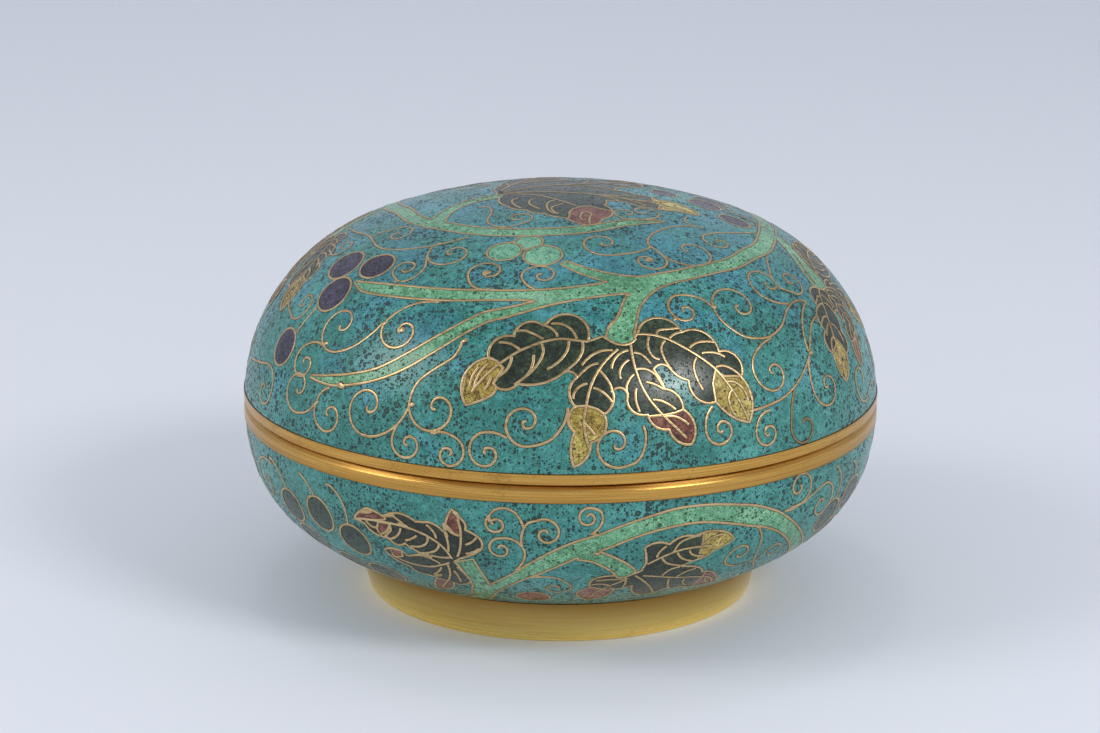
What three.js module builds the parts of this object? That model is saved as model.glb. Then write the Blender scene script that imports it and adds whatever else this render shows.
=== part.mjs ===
// A round covered box of enamelled copper with gilt mounts: a bowl on a foot ring, a domed lid, and a gilt
// ring along each mouth. The lid drops over an upright flange inside the bowl's ring and lifts straight off.
// Millimetres, +Z up, the origin at the centre of the circle on which the foot ring stands.
import * as THREE from "three";

// Gilt rings along the two mouths
const RIM_RADIUS = 60;
const RIM_WIDTH = 2.8;
const BOWL_RIM_HEIGHT = 3.0;
const BOWL_RIM_BEVEL = 0.85;
const LID_RIM_HEIGHT = 2.35;
const LID_RIM_EDGE = 0.25;
const SEAT_GAP = 0.3;

// The upright flange that keeps the lid in place
const FLANGE_HEIGHT = 3.5;
const FLANGE_WIDTH = 1.2;
const FLANGE_CLEARANCE = 0.3;

// Copper body with enamel on both faces
const WALL = 2.4;
const ENAMEL_STEP = 0.2; // how far the enamel lies behind the face of the gilt rings

// The domed lid: a shoulder arc that rises from the ring, and a wide arc over the crown
const LID_RISE = 39.1;
const LID_LEAN = 4.2;
const SHOULDER_RADIUS = 34.7;

// The bowl: a steep upper arc, a tighter haunch, and a wide arc that runs out into a flat base.
// A lean is how far the outward normal dips below the horizontal, in degrees.
const BOWL_LEAN = 2.5;
const UPPER_RADIUS = 35.3;
const HAUNCH_LEAN = 15.4;
const HAUNCH_RADIUS = 21.1;
const UNDERSIDE_LEAN = 49.3;
const BASE_FLAT_RADIUS = 24;

// The foot ring, soldered under the bowl
const FOOT_TOP_RADIUS = 38.6;
const FOOT_BOTTOM_RADIUS = 36.7;
const FOOT_WALL = 2.2;
const FOOT_STAND = 7.9; // from the table to the bowl's underside at the ring's outer edge
const FOOT_EDGE = 0.3;
const SOLDER = 0.1;

// Facets
const SEGMENTS = 64;
const FACET_ANGLE = 6.5; // the most that one facet of an arc turns, in degrees
const INNER_FACET_ANGLE = 9;

const radians = THREE.MathUtils.degToRad;

const turquoise = new THREE.MeshStandardMaterial({ color: 0x3a8c8c, roughness: 0.3, metalness: 0 });
const gilt = new THREE.MeshStandardMaterial({ color: 0xc99a4a, roughness: 0.35, metalness: 1 });

// Points along an arc of a profile, each a radius and a height. Angles are those of the outward normal above
// the horizontal, in radians.
function arcPoints(centre, radius, from, to, facetAngle) {
  const steps = Math.max(1, Math.ceil(Math.abs(to - from) / radians(facetAngle)));
  return Array.from({ length: steps + 1 }, (_, i) => {
    const angle = from + ((to - from) * i) / steps;
    return new THREE.Vector2(centre.x + radius * Math.cos(angle), centre.y + radius * Math.sin(angle));
  });
}

// The centre of an arc that has this normal at this point.
function centreOf(point, radius, angle) {
  return new THREE.Vector2(point.x - radius * Math.cos(angle), point.y - radius * Math.sin(angle));
}

// The height at which a chain of arcs, listed from the top down, passes this radius on its lower side.
function heightAt(arcs, radius) {
  const arc = arcs.find(({ centre, radius: bend, to }) => centre.x + bend * Math.cos(to) <= radius + 1e-9);
  const reach = (radius - arc.centre.x) / arc.radius;
  return arc.centre.y - arc.radius * Math.sqrt(1 - reach * reach);
}

// A solid of revolution. The profile is a list of radius and height pairs that runs upwards on its outer side
// and either starts and ends on the axis or closes on itself.
function turned(name, profile, material) {
  const geometry = new THREE.LatheGeometry(profile, SEGMENTS);
  geometry.rotateX(Math.PI / 2);
  const mesh = new THREE.Mesh(geometry, material);
  mesh.name = name;
  return mesh;
}

function closed(profile) {
  return [...profile, profile[0].clone()];
}

function pairs(...values) {
  return values.map(([radius, height]) => new THREE.Vector2(radius, height));
}

// The bowl's outer arcs below its mouth, with the mouth at height 0.
function bowlArcs() {
  const mouth = new THREE.Vector2(RIM_RADIUS - ENAMEL_STEP, 0);
  const leans = [BOWL_LEAN, HAUNCH_LEAN, UNDERSIDE_LEAN].map((lean) => -radians(lean));
  const upper = { centre: centreOf(mouth, UPPER_RADIUS, leans[0]), radius: UPPER_RADIUS, from: leans[0], to: leans[1] };
  const haunchTop = endOf(upper);
  const haunch = {
    centre: centreOf(haunchTop, HAUNCH_RADIUS, leans[1]), radius: HAUNCH_RADIUS, from: leans[1], to: leans[2],
  };
  const undersideTop = endOf(haunch);
  const undersideRadius = (undersideTop.x - BASE_FLAT_RADIUS) / Math.cos(leans[2]);
  const underside = {
    centre: centreOf(undersideTop, undersideRadius, leans[2]), radius: undersideRadius,
    from: leans[2], to: -Math.PI / 2,
  };
  return [upper, haunch, underside];
}

function endOf({ centre, radius, to }) {
  return new THREE.Vector2(centre.x + radius * Math.cos(to), centre.y + radius * Math.sin(to));
}

const arcsBelowMouth = bowlArcs();
const mouthZ = FOOT_STAND - heightAt(arcsBelowMouth, FOOT_TOP_RADIUS);
const seatZ = mouthZ + BOWL_RIM_HEIGHT;
const lidMouthZ = seatZ + LID_RIM_HEIGHT;

const bowlOutside = arcsBelowMouth.map((arc) => ({
  ...arc, centre: new THREE.Vector2(arc.centre.x, arc.centre.y + mouthZ),
}));

// The same arcs, one wall further in.
function offsetInwards(arcs) {
  return arcs.map((arc) => ({ ...arc, radius: arc.radius - WALL }));
}

// The bowl, from the centre of its underside out and up to the mouth, then back down inside.
function bowl() {
  const chain = (arcs, facetAngle) =>
    arcs.flatMap((arc, i) => arcPoints(arc.centre, arc.radius, arc.from, arc.to, facetAngle).slice(i ? 1 : 0));
  const outside = chain(bowlOutside, FACET_ANGLE);
  const [upper, ...rest] = offsetInwards(bowlOutside);
  const insideUpper = { ...upper, from: Math.asin((mouthZ - upper.centre.y) / upper.radius) };
  const inside = chain([insideUpper, ...rest], INNER_FACET_ANGLE);
  return turned("bowl", [
    new THREE.Vector2(0, outside.at(-1).y), ...outside.reverse(), ...inside, new THREE.Vector2(0, inside.at(-1).y),
  ], turquoise);
}

// The gilt ring on the bowl's mouth, with its bevel, the land that the lid stands on, and the flange.
function bowlRim() {
  const flangeOutside = RIM_RADIUS - RIM_WIDTH - FLANGE_CLEARANCE;
  const flangeInside = flangeOutside - FLANGE_WIDTH;
  const flangeTop = seatZ + FLANGE_HEIGHT;
  const flangeEdge = FLANGE_WIDTH / 4;
  return turned("bowl_rim", closed(pairs(
    [flangeInside, mouthZ],
    [RIM_RADIUS, mouthZ],
    [RIM_RADIUS, seatZ - BOWL_RIM_BEVEL],
    [RIM_RADIUS - BOWL_RIM_BEVEL, seatZ],
    [flangeOutside, seatZ],
    [flangeOutside, flangeTop - flangeEdge],
    [flangeOutside - flangeEdge, flangeTop],
    [flangeInside, flangeTop],
  )), gilt);
}

// The foot ring. Its top follows the bowl's underside, and it narrows a little towards the table.
function footRing() {
  const undersideZ = (radius) => heightAt(bowlOutside, radius) - SOLDER;
  const innerTop = FOOT_TOP_RADIUS - FOOT_WALL;
  const innerBottom = FOOT_BOTTOM_RADIUS - FOOT_WALL;
  return turned("foot_ring", closed(pairs(
    [innerBottom, 0],
    [FOOT_BOTTOM_RADIUS - FOOT_EDGE, 0],
    [FOOT_BOTTOM_RADIUS, FOOT_EDGE],
    [FOOT_TOP_RADIUS, undersideZ(FOOT_TOP_RADIUS)],
    [innerTop, undersideZ(innerTop)],
  )), gilt);
}

// The gilt ring along the lid's mouth.
function lidRim() {
  const bottomZ = seatZ + SEAT_GAP;
  return turned("lid_rim", closed(pairs(
    [RIM_RADIUS - RIM_WIDTH, bottomZ],
    [RIM_RADIUS - LID_RIM_EDGE, bottomZ],
    [RIM_RADIUS, bottomZ + LID_RIM_EDGE],
    [RIM_RADIUS, lidMouthZ],
    [RIM_RADIUS - RIM_WIDTH, lidMouthZ],
  )), gilt);
}

// The domed lid. The crown arc is centred on the axis and runs into the shoulder arc without a break.
function lid() {
  const lean = radians(LID_LEAN);
  const apexZ = seatZ + LID_RISE;
  const mouth = new THREE.Vector2(RIM_RADIUS - ENAMEL_STEP, lidMouthZ);
  const shoulder = centreOf(mouth, SHOULDER_RADIUS, lean);
  const rise = apexZ - shoulder.y;
  const crownRadius = (shoulder.x ** 2 + rise ** 2 - SHOULDER_RADIUS ** 2) / (2 * (rise - SHOULDER_RADIUS));
  const crown = new THREE.Vector2(0, apexZ - crownRadius);
  const turn = Math.atan2(shoulder.y - crown.y, shoulder.x);
  const innerShoulder = SHOULDER_RADIUS - WALL;
  const innerCrown = crownRadius - WALL;
  const innerStart = Math.asin((lidMouthZ - shoulder.y) / innerShoulder);
  return turned("lid", [
    ...arcPoints(crown, innerCrown, Math.PI / 2, turn, INNER_FACET_ANGLE),
    ...arcPoints(shoulder, innerShoulder, turn, innerStart, INNER_FACET_ANGLE).slice(1),
    ...arcPoints(shoulder, SHOULDER_RADIUS, lean, turn, FACET_ANGLE),
    ...arcPoints(crown, crownRadius, turn, Math.PI / 2, FACET_ANGLE).slice(1),
  ], turquoise);
}

const box = new THREE.Group();
box.name = "covered_box";
box.add(bowl(), bowlRim(), footRing(), lidRim(), lid());

export default box;
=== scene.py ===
"""A round covered box of cloisonne enamel: a turquoise ground, a wired grapevine and gilt mounts.

The pieces stand where the loaded model has them. The pattern's spots lie on the outside of each shell:
degrees round from the front, and millimetres along the wall from the mouth. Most spots of the front were
picked on the photograph and converted through a fitted camera. The back of the pattern is guessed.
"""
import cmath
import logging
import math
from dataclasses import dataclass, field
from enum import Enum

import bmesh
import bpy
import numpy as np
from mathutils import Matrix, Vector
from mathutils.geometry import delaunay_2d_cdt
from mathutils.kdtree import KDTree


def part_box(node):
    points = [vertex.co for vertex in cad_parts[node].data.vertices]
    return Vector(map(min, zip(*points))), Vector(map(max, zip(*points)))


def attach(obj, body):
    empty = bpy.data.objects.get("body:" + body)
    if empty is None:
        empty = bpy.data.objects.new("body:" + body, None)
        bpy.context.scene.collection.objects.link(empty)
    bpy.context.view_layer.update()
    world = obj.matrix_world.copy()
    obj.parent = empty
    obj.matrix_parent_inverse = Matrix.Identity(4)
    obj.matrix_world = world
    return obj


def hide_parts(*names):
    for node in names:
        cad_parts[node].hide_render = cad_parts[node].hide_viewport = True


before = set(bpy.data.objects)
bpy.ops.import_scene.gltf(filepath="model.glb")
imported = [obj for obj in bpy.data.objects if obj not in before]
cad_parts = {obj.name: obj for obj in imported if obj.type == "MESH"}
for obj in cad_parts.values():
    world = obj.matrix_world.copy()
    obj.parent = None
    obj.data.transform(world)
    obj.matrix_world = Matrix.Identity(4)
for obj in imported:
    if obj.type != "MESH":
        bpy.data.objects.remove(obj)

MM = 0.001
LOG = logging.getLogger("cloisonne_box")

Spot = tuple[float, float]
Bend = tuple[float, float, float]


class Glass(Enum):
    """The enamels, each the colour of a recess between wires."""

    GROUND = "turquoise"
    VINE = "vine green"
    LEAF = "leaf green"
    STRAW = "straw yellow"
    WINE = "wine red"
    PLUM = "plum"
    UNRIPE = "unripe green"
    OLIVE = "olive"


# Walls and charts


@dataclass(frozen=True)
class Arc:
    """One arc of a turned profile, in millimetres, with the tilt of its outward normal at both ends.

    A tilt is in radians above the horizontal, so it is negative where the wall faces down.
    """

    centre: tuple[float, float]
    radius: float
    start: float
    end: float

    def at(self, tilt: np.ndarray) -> tuple[np.ndarray, np.ndarray]:
        """Radius and height of the points whose normals have these tilts."""
        return self.centre[0] + self.radius * np.cos(tilt), self.centre[1] + self.radius * np.sin(tilt)

    def inset(self, wall: float) -> "Arc":
        """The same arc on the other face of a wall this thick."""
        return Arc(self.centre, self.radius - wall, self.start, self.end)


def arc_from(point: tuple[float, float], radius: float, start: float, end: float) -> Arc:
    """An arc that leaves a point with a given tilt.

    Args:
        point: radius and height where the arc starts.
        radius: how wide the arc bends.
        start: the tilt of the normal at the point.
        end: the tilt of the normal at the other end.

    Returns:
        The arc.
    """
    centre = (point[0] - radius * math.cos(start), point[1] - radius * math.sin(start))
    return Arc(centre, radius, start, end)


class Wall:
    """The outer face of a turned shell, tabulated along its profile from the mouth to the axis.

    Args:
        arcs: the profile's arcs, from the mouth on.
        upward: True if the wall runs up from its mouth, False if it runs down.
    """

    STEP = 0.05

    def __init__(self, arcs: list[Arc], upward: bool) -> None:
        self.arcs = arcs
        self.upward = upward
        along, radius, height, tilt = [], [], [], []
        run = 0.0
        for arc in arcs:
            length = arc.radius * abs(arc.end - arc.start)
            share = np.linspace(0, 1, int(length / self.STEP) + 2)
            angle = arc.start + (arc.end - arc.start) * share
            r, z = arc.at(angle)
            along.append(run + length * share)
            radius.append(r)
            height.append(z)
            tilt.append(angle)
            run += length
        last_r, last_z = radius[-1][-1], height[-1][-1]
        if last_r > self.STEP:
            share = np.linspace(0, 1, int(last_r / self.STEP) + 2)
            along.append(run + last_r * share)
            radius.append(last_r * (1 - share))
            height.append(np.full(share.size, last_z))
            tilt.append(np.full(share.size, tilt[-1][-1]))
        self.along = np.concatenate(along)
        self.radius = np.maximum(np.concatenate(radius), 1e-4)
        self.height = np.concatenate(height)
        self.tilt = np.concatenate(tilt)
        between = 2 / (self.radius[1:] + self.radius[:-1])
        stretch = np.concatenate([[0], np.cumsum(np.diff(self.along) * between)])
        self.reach = self.radius[0] * np.exp(-stretch)

    @property
    def length(self) -> float:
        """From the mouth to the axis, along the profile."""
        return float(self.along[-1])


class Chart:
    """A flat drawing of a shell's outside that keeps angles, as complex numbers in millimetres.

    The mouth is the drawing's rim and the axis its middle. It is drawn as seen from outside, so that a turn
    to the left is one on the real wall too.

    Args:
        wall: the outer face that is drawn.
    """

    def __init__(self, wall: Wall) -> None:
        self.wall = wall
        self.front = -1j if wall.upward else 1j

    def spot(self, azimuth: float, along: float) -> complex:
        """The drawing's point at these degrees from the front and millimetres from the mouth."""
        reach = float(np.interp(along, self.wall.along, self.wall.reach))
        return reach * self.bearing(azimuth)

    def bearing(self, azimuth: float) -> complex:
        """The unit direction from the drawing's middle towards an azimuth."""
        turn = math.radians(azimuth) * (1 if self.wall.upward else -1)
        return self.front * complex(math.cos(turn), math.sin(turn))

    def up(self, point: complex) -> complex:
        """The unit direction that is upwards on the wall, at a point of the drawing."""
        return (-point if self.wall.upward else point) / abs(point)

    def rightward(self, point: complex) -> complex:
        """What a millimetre of the wall to the right comes to in the drawing, at a point of it."""
        return -1j * self.up(point) * float(self.grain(np.array([point]))[0])

    def grain(self, points: np.ndarray) -> np.ndarray:
        """How long a millimetre of the wall is in the drawing, at each point."""
        reach = np.maximum(np.abs(points), 1e-6)
        radius = np.interp(-reach, -self.wall.reach, self.wall.radius)
        return reach / radius

    def along(self, points: np.ndarray) -> np.ndarray:
        """Millimetres along the wall from the mouth."""
        return np.interp(-np.abs(points), -self.wall.reach, self.wall.along)

    def lay(self, points: np.ndarray) -> tuple[np.ndarray, np.ndarray]:
        """Puts points of the drawing on the wall.

        Args:
            points: the drawing's points.

        Returns:
            Places in metres, and the outward normals there.
        """
        along = self.along(points)
        reach = np.maximum(np.abs(points), 1e-9)
        radius = np.interp(along, self.wall.along, self.wall.radius)
        height = np.interp(along, self.wall.along, self.wall.height)
        tilt = np.interp(along, self.wall.along, self.wall.tilt)
        side = np.real(points) / reach
        depth = np.imag(points) / reach * (1 if self.wall.upward else -1)
        normal = np.stack([np.cos(tilt) * side, np.cos(tilt) * depth, np.sin(tilt)], -1)
        place = np.stack([radius * side, radius * depth, height], -1)
        return place * MM, normal


# Drawing


def smooth_line(points: np.ndarray, step: float = 0.3) -> np.ndarray:
    """A smooth line through points, by cubic pieces whose knots follow the gaps.

    Args:
        points: the points that it passes.
        step: how far apart its samples are, in millimetres.

    Returns:
        The sampled line.
    """
    points = np.asarray(points, complex)
    if len(points) < 3:
        count = max(2, int(abs(points[-1] - points[0]) / step) + 1)
        return points[0] + (points[-1] - points[0]) * np.linspace(0, 1, count)
    gaps = np.maximum(np.abs(np.diff(points)), 1e-6) ** 0.6
    slopes = np.diff(points) / gaps
    inner = (slopes[:-1] * gaps[1:] + slopes[1:] * gaps[:-1]) / (gaps[:-1] + gaps[1:])
    tangents = np.concatenate([[2 * slopes[0] - inner[0]], inner, [2 * slopes[-1] - inner[-1]]])
    out = []
    for i, gap in enumerate(gaps):
        count = max(2, int(abs(points[i + 1] - points[i]) / step) + 1)
        t = np.linspace(0, 1, count, endpoint=False)
        out.append(
            points[i] * (2 * t**3 - 3 * t**2 + 1)
            + tangents[i] * gap * (t**3 - 2 * t**2 + t)
            + points[i + 1] * (3 * t**2 - 2 * t**3)
            + tangents[i + 1] * gap * (t**3 - t**2)
        )
    return np.concatenate(out + [points[-1:]])


def bent_outline(corners: list[complex], bends: list[float], step: float = 0.3) -> np.ndarray:
    """A closed outline of arcs from corner to corner.

    Args:
        corners: the cusps, anticlockwise.
        bends: for the arc after each corner, the tangent of a quarter of its angle, positive if it swells.
        step: how far apart its samples are, in millimetres.

    Returns:
        The sampled outline, open at its end.
    """
    out = []
    for i, (start, bend) in enumerate(zip(corners, bends)):
        chord = corners[(i + 1) % len(corners)] - start
        count = max(2, int(abs(chord) * (1 + abs(bend)) / step))
        share = np.arange(count) / count
        if abs(bend) < 0.02:
            out.append(start + chord * share)
            continue
        centre = start + chord / 2 + 1j * chord * (1 - bend * bend) / (4 * bend)
        out.append(centre + (start - centre) * np.exp(4j * math.atan(bend) * share))
    return np.concatenate(out)


def thin_out(line: np.ndarray, turn: float = 0.1, longest: float = 1.0) -> np.ndarray:
    """Drops samples of a line where it hardly turns.

    Args:
        line: a densely sampled line.
        turn: radians that it may turn between two kept samples.
        longest: millimetres that may lie between two kept samples.

    Returns:
        The kept samples, with both ends.
    """
    steps = np.diff(line)
    keep = [0]
    bent = run = 0.0
    for i in range(1, len(line) - 1):
        if steps[i] != 0 and steps[i - 1] != 0:
            bent += abs(np.angle(steps[i] / steps[i - 1]))
        run += abs(steps[i - 1])
        if bent + 1e-9 > turn or run > longest:
            keep.append(i)
            bent = run = 0.0
    keep.append(len(line) - 1)
    return line[keep]


def inside(outline: np.ndarray, points: np.ndarray) -> np.ndarray:
    """Whether points lie within an outline, however often it winds round them.

    Args:
        outline: the outline's corners.
        points: the points to test.

    Returns:
        True for each point that the outline goes round.
    """
    within = np.zeros(points.size, bool)
    box = (points.real >= outline.real.min()) & (points.real <= outline.real.max())
    box &= (points.imag >= outline.imag.min()) & (points.imag <= outline.imag.max())
    near = np.flatnonzero(box)
    if near.size == 0:
        return within
    p = points[near][:, None]
    a = outline[None, :]
    b = np.roll(outline, -1)[None, :]
    side = ((b - a) * np.conj(p - a)).imag
    rising = (a.imag <= p.imag) & (b.imag > p.imag) & (side < 0)
    falling = (a.imag > p.imag) & (b.imag <= p.imag) & (side > 0)
    within[near] = (rising.sum(1) - falling.sum(1)) != 0
    return within


@dataclass
class Cell:
    """A field of one enamel with a wire round it.

    Fields of one family run together without a wire. A field with a host only recolours that family.
    """

    outline: np.ndarray
    glass: Glass
    family: str
    host: str | None = None


@dataclass
class Sheet:
    """All that is drawn on one shell, in the chart's drawing."""

    chart: Chart
    cells: list[Cell] = field(default_factory=list)
    wires: list[np.ndarray] = field(default_factory=list)
    dull_wires: list[np.ndarray] = field(default_factory=list)
    blobs: list[tuple[complex, complex, float]] = field(default_factory=list)
    families: int = 0

    def new_family(self) -> str:
        """A name for a family of fields that no other has."""
        self.families += 1
        return f"family {self.families}"


@dataclass(frozen=True)
class Move:
    """How many degrees a copy of a motif is turned about the box's axis."""

    turn: float = 0.0

    def spot(self, spot: Spot) -> Spot:
        """A spot of the motif, moved."""
        return spot[0] + self.turn, spot[1]


@dataclass(frozen=True)
class Stem:
    """A vine stem: a band of green between two wires."""

    line: tuple[Spot, ...]
    widths: tuple[float, ...]
    round_end: float = 0.0

    def draw(self, sheet: Sheet, move: Move) -> None:
        """Adds the stem's field to a sheet."""
        points = np.array([sheet.chart.spot(*move.spot(s)) for s in self.line])
        middle = smooth_line(points)
        nearest = [int(np.argmin(np.abs(middle - p))) for p in points]
        widths = np.interp(np.arange(len(middle)), nearest, self.widths)
        heading = np.gradient(middle)
        across = 1j * heading / np.abs(heading) * widths / 2 * sheet.chart.grain(middle)
        left, right = middle + across, middle - across
        end = np.array([], complex)
        if self.round_end:
            cap = bent_outline([right[-1], left[-1]], [self.round_end, 0.0])
            end = cap[1 : max(2, int(np.argmin(np.abs(cap - left[-1]))))]
        outline = np.concatenate([right, end, left[::-1]])
        sheet.cells.append(Cell(outline, Glass.VINE, "vine"))


@dataclass(frozen=True)
class Grape:
    """One round grape."""

    middle: Spot
    size: float = 3.5
    glass: Glass = Glass.PLUM

    def draw(self, sheet: Sheet, move: Move) -> None:
        """Adds the grape's field to a sheet."""
        centre = sheet.chart.spot(*move.spot(self.middle))
        radius = self.size * float(sheet.chart.grain(np.array([centre]))[0])
        turn = np.linspace(0, 2 * math.pi, 40, endpoint=False)
        outline = centre + radius * np.exp(1j * turn) * (1 + 0.03 * np.sin(2 * turn + self.middle[0]))
        sheet.cells.append(Cell(outline, self.glass, sheet.new_family()))


@dataclass(frozen=True)
class Wire:
    """A single wire through some spots, such as a grape's stalk."""

    line: tuple[Spot, ...]

    def draw(self, sheet: Sheet, move: Move) -> None:
        """Adds the wire to a sheet."""
        points = np.array([sheet.chart.spot(*move.spot(s)) for s in self.line])
        sheet.wires.append(thin_out(smooth_line(points)))


@dataclass(frozen=True)
class Blob:
    """A joint between wires that the solder has flooded."""

    start: Spot
    end: Spot | None = None
    width: float = 1.6

    def draw(self, sheet: Sheet, move: Move) -> None:
        """Adds the blob to a sheet."""
        end = self.end or (self.start[0] + 1.0, self.start[1] + 0.5)
        start = sheet.chart.spot(*move.spot(self.start))
        end = sheet.chart.spot(*move.spot(end))
        sheet.blobs.append((start, end, self.width))


CURL_START = 0.45
CURL_STEP = 0.35
CURL_SAMPLE = 0.15
INNER_CURL = 0.5
DROP_REACH = 0.5
DROP_WIDTH = 2.6


@dataclass(frozen=True)
class Scroll:
    """A tendril that ends in a curl.

    The curl starts at the path's last spot and winds in round the eye, anticlockwise if turns is positive.
    """

    path: tuple[Spot, ...]
    eye: Spot
    turns: float
    loop: float = 0.8
    tarnished: bool = False
    filled: bool = False

    def draw(self, sheet: Sheet, move: Move) -> None:
        """Adds the tendril to a sheet."""
        points = [sheet.chart.spot(*move.spot(s)) for s in self.path]
        eye = sheet.chart.spot(*move.spot(self.eye))
        arm = points[-1] - eye
        loop = self.loop * float(sheet.chart.grain(np.array([eye]))[0]) / abs(arm)
        whole = abs(self.turns) * 2 * math.pi
        angle = np.arange(CURL_START, whole, CURL_STEP)
        wound = np.minimum(angle / (2 * math.pi), 1.0)
        size = loop + (1 - loop) * (1 - wound * wound * (3 - 2 * wound))
        late = np.maximum(angle - 2 * math.pi, 0) / max(whole - 2 * math.pi, 0.5)
        size = size * (1 - INNER_CURL * np.minimum(late, 1) ** 1.5)
        sense = math.copysign(1.0, self.turns)
        curl = eye + arm * size * np.exp(1j * sense * angle)
        line = thin_out(smooth_line(np.concatenate([points, curl]), step=CURL_SAMPLE))
        (sheet.dull_wires if self.tarnished else sheet.wires).append(line)
        if self.filled:
            drop = DROP_REACH * arm / abs(arm)
            sheet.blobs.append((eye - drop, eye + drop, DROP_WIDTH))


@dataclass(frozen=True)
class Tip:
    """The end of a leaf's lobe, turned to another colour."""

    glass: Glass
    outline: tuple[Spot, ...]


@dataclass(frozen=True)
class Pose:
    """Where a copy of a leaf goes: its foot, the degrees it is turned on the wall, and its scale."""

    foot: Spot
    turn: float
    scale: float = 1.0
    mirror: bool = False


@dataclass(frozen=True)
class Leaf:
    """A lobed leaf with a scalloped edge, veins and turned tips."""

    foot: Spot
    edge: tuple[Bend, ...]
    veins: tuple[tuple[Spot, ...], ...]
    tips: tuple[Tip, ...]

    def draw(self, sheet: Sheet, move: Move, pose: Pose | None = None) -> None:
        """Adds the leaf's fields and veins to a sheet.

        Args:
            sheet: the sheet that is drawn on.
            move: how the motif that the leaf belongs to is moved.
            pose: where this copy goes, if it isn't in its own place.
        """
        chart = sheet.chart
        hand = -1 if pose is not None and pose.mirror else 1

        def place(spot: Spot) -> complex:
            """The drawing's point for a spot of the leaf."""
            if pose is None:
                return chart.spot(*move.spot(spot))
            foot = chart.spot(*self.foot)
            local = (chart.spot(*spot) - foot) / chart.rightward(foot)
            if pose.mirror:
                local = -local.conjugate()
            local *= pose.scale * cmath.exp(1j * math.radians(pose.turn))
            base = chart.spot(*move.spot(pose.foot))
            return base + local * chart.rightward(base)

        corners = [place(bend[:2]) for bend in self.edge]
        family = sheet.new_family()
        outline = bent_outline(corners, [bend[2] * hand for bend in self.edge])
        sheet.cells.append(Cell(outline, Glass.LEAF, family))
        for tip in self.tips:
            border = np.array([place(spot) for spot in tip.outline])
            sheet.cells.append(Cell(border, tip.glass, sheet.new_family(), host=family))
        for vein in self.veins:
            sheet.wires.append(thin_out(smooth_line(np.array([place(spot) for spot in vein]))))


@dataclass(frozen=True)
class LeafCopy:
    """A leaf set somewhere else."""

    leaf: Leaf
    pose: Pose

    def draw(self, sheet: Sheet, move: Move) -> None:
        """Adds the copy to a sheet."""
        self.leaf.draw(sheet, move, self.pose)


Mark = Stem | Grape | Wire | Blob | Scroll | Leaf | LeafCopy


# The pattern on the lid

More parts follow.
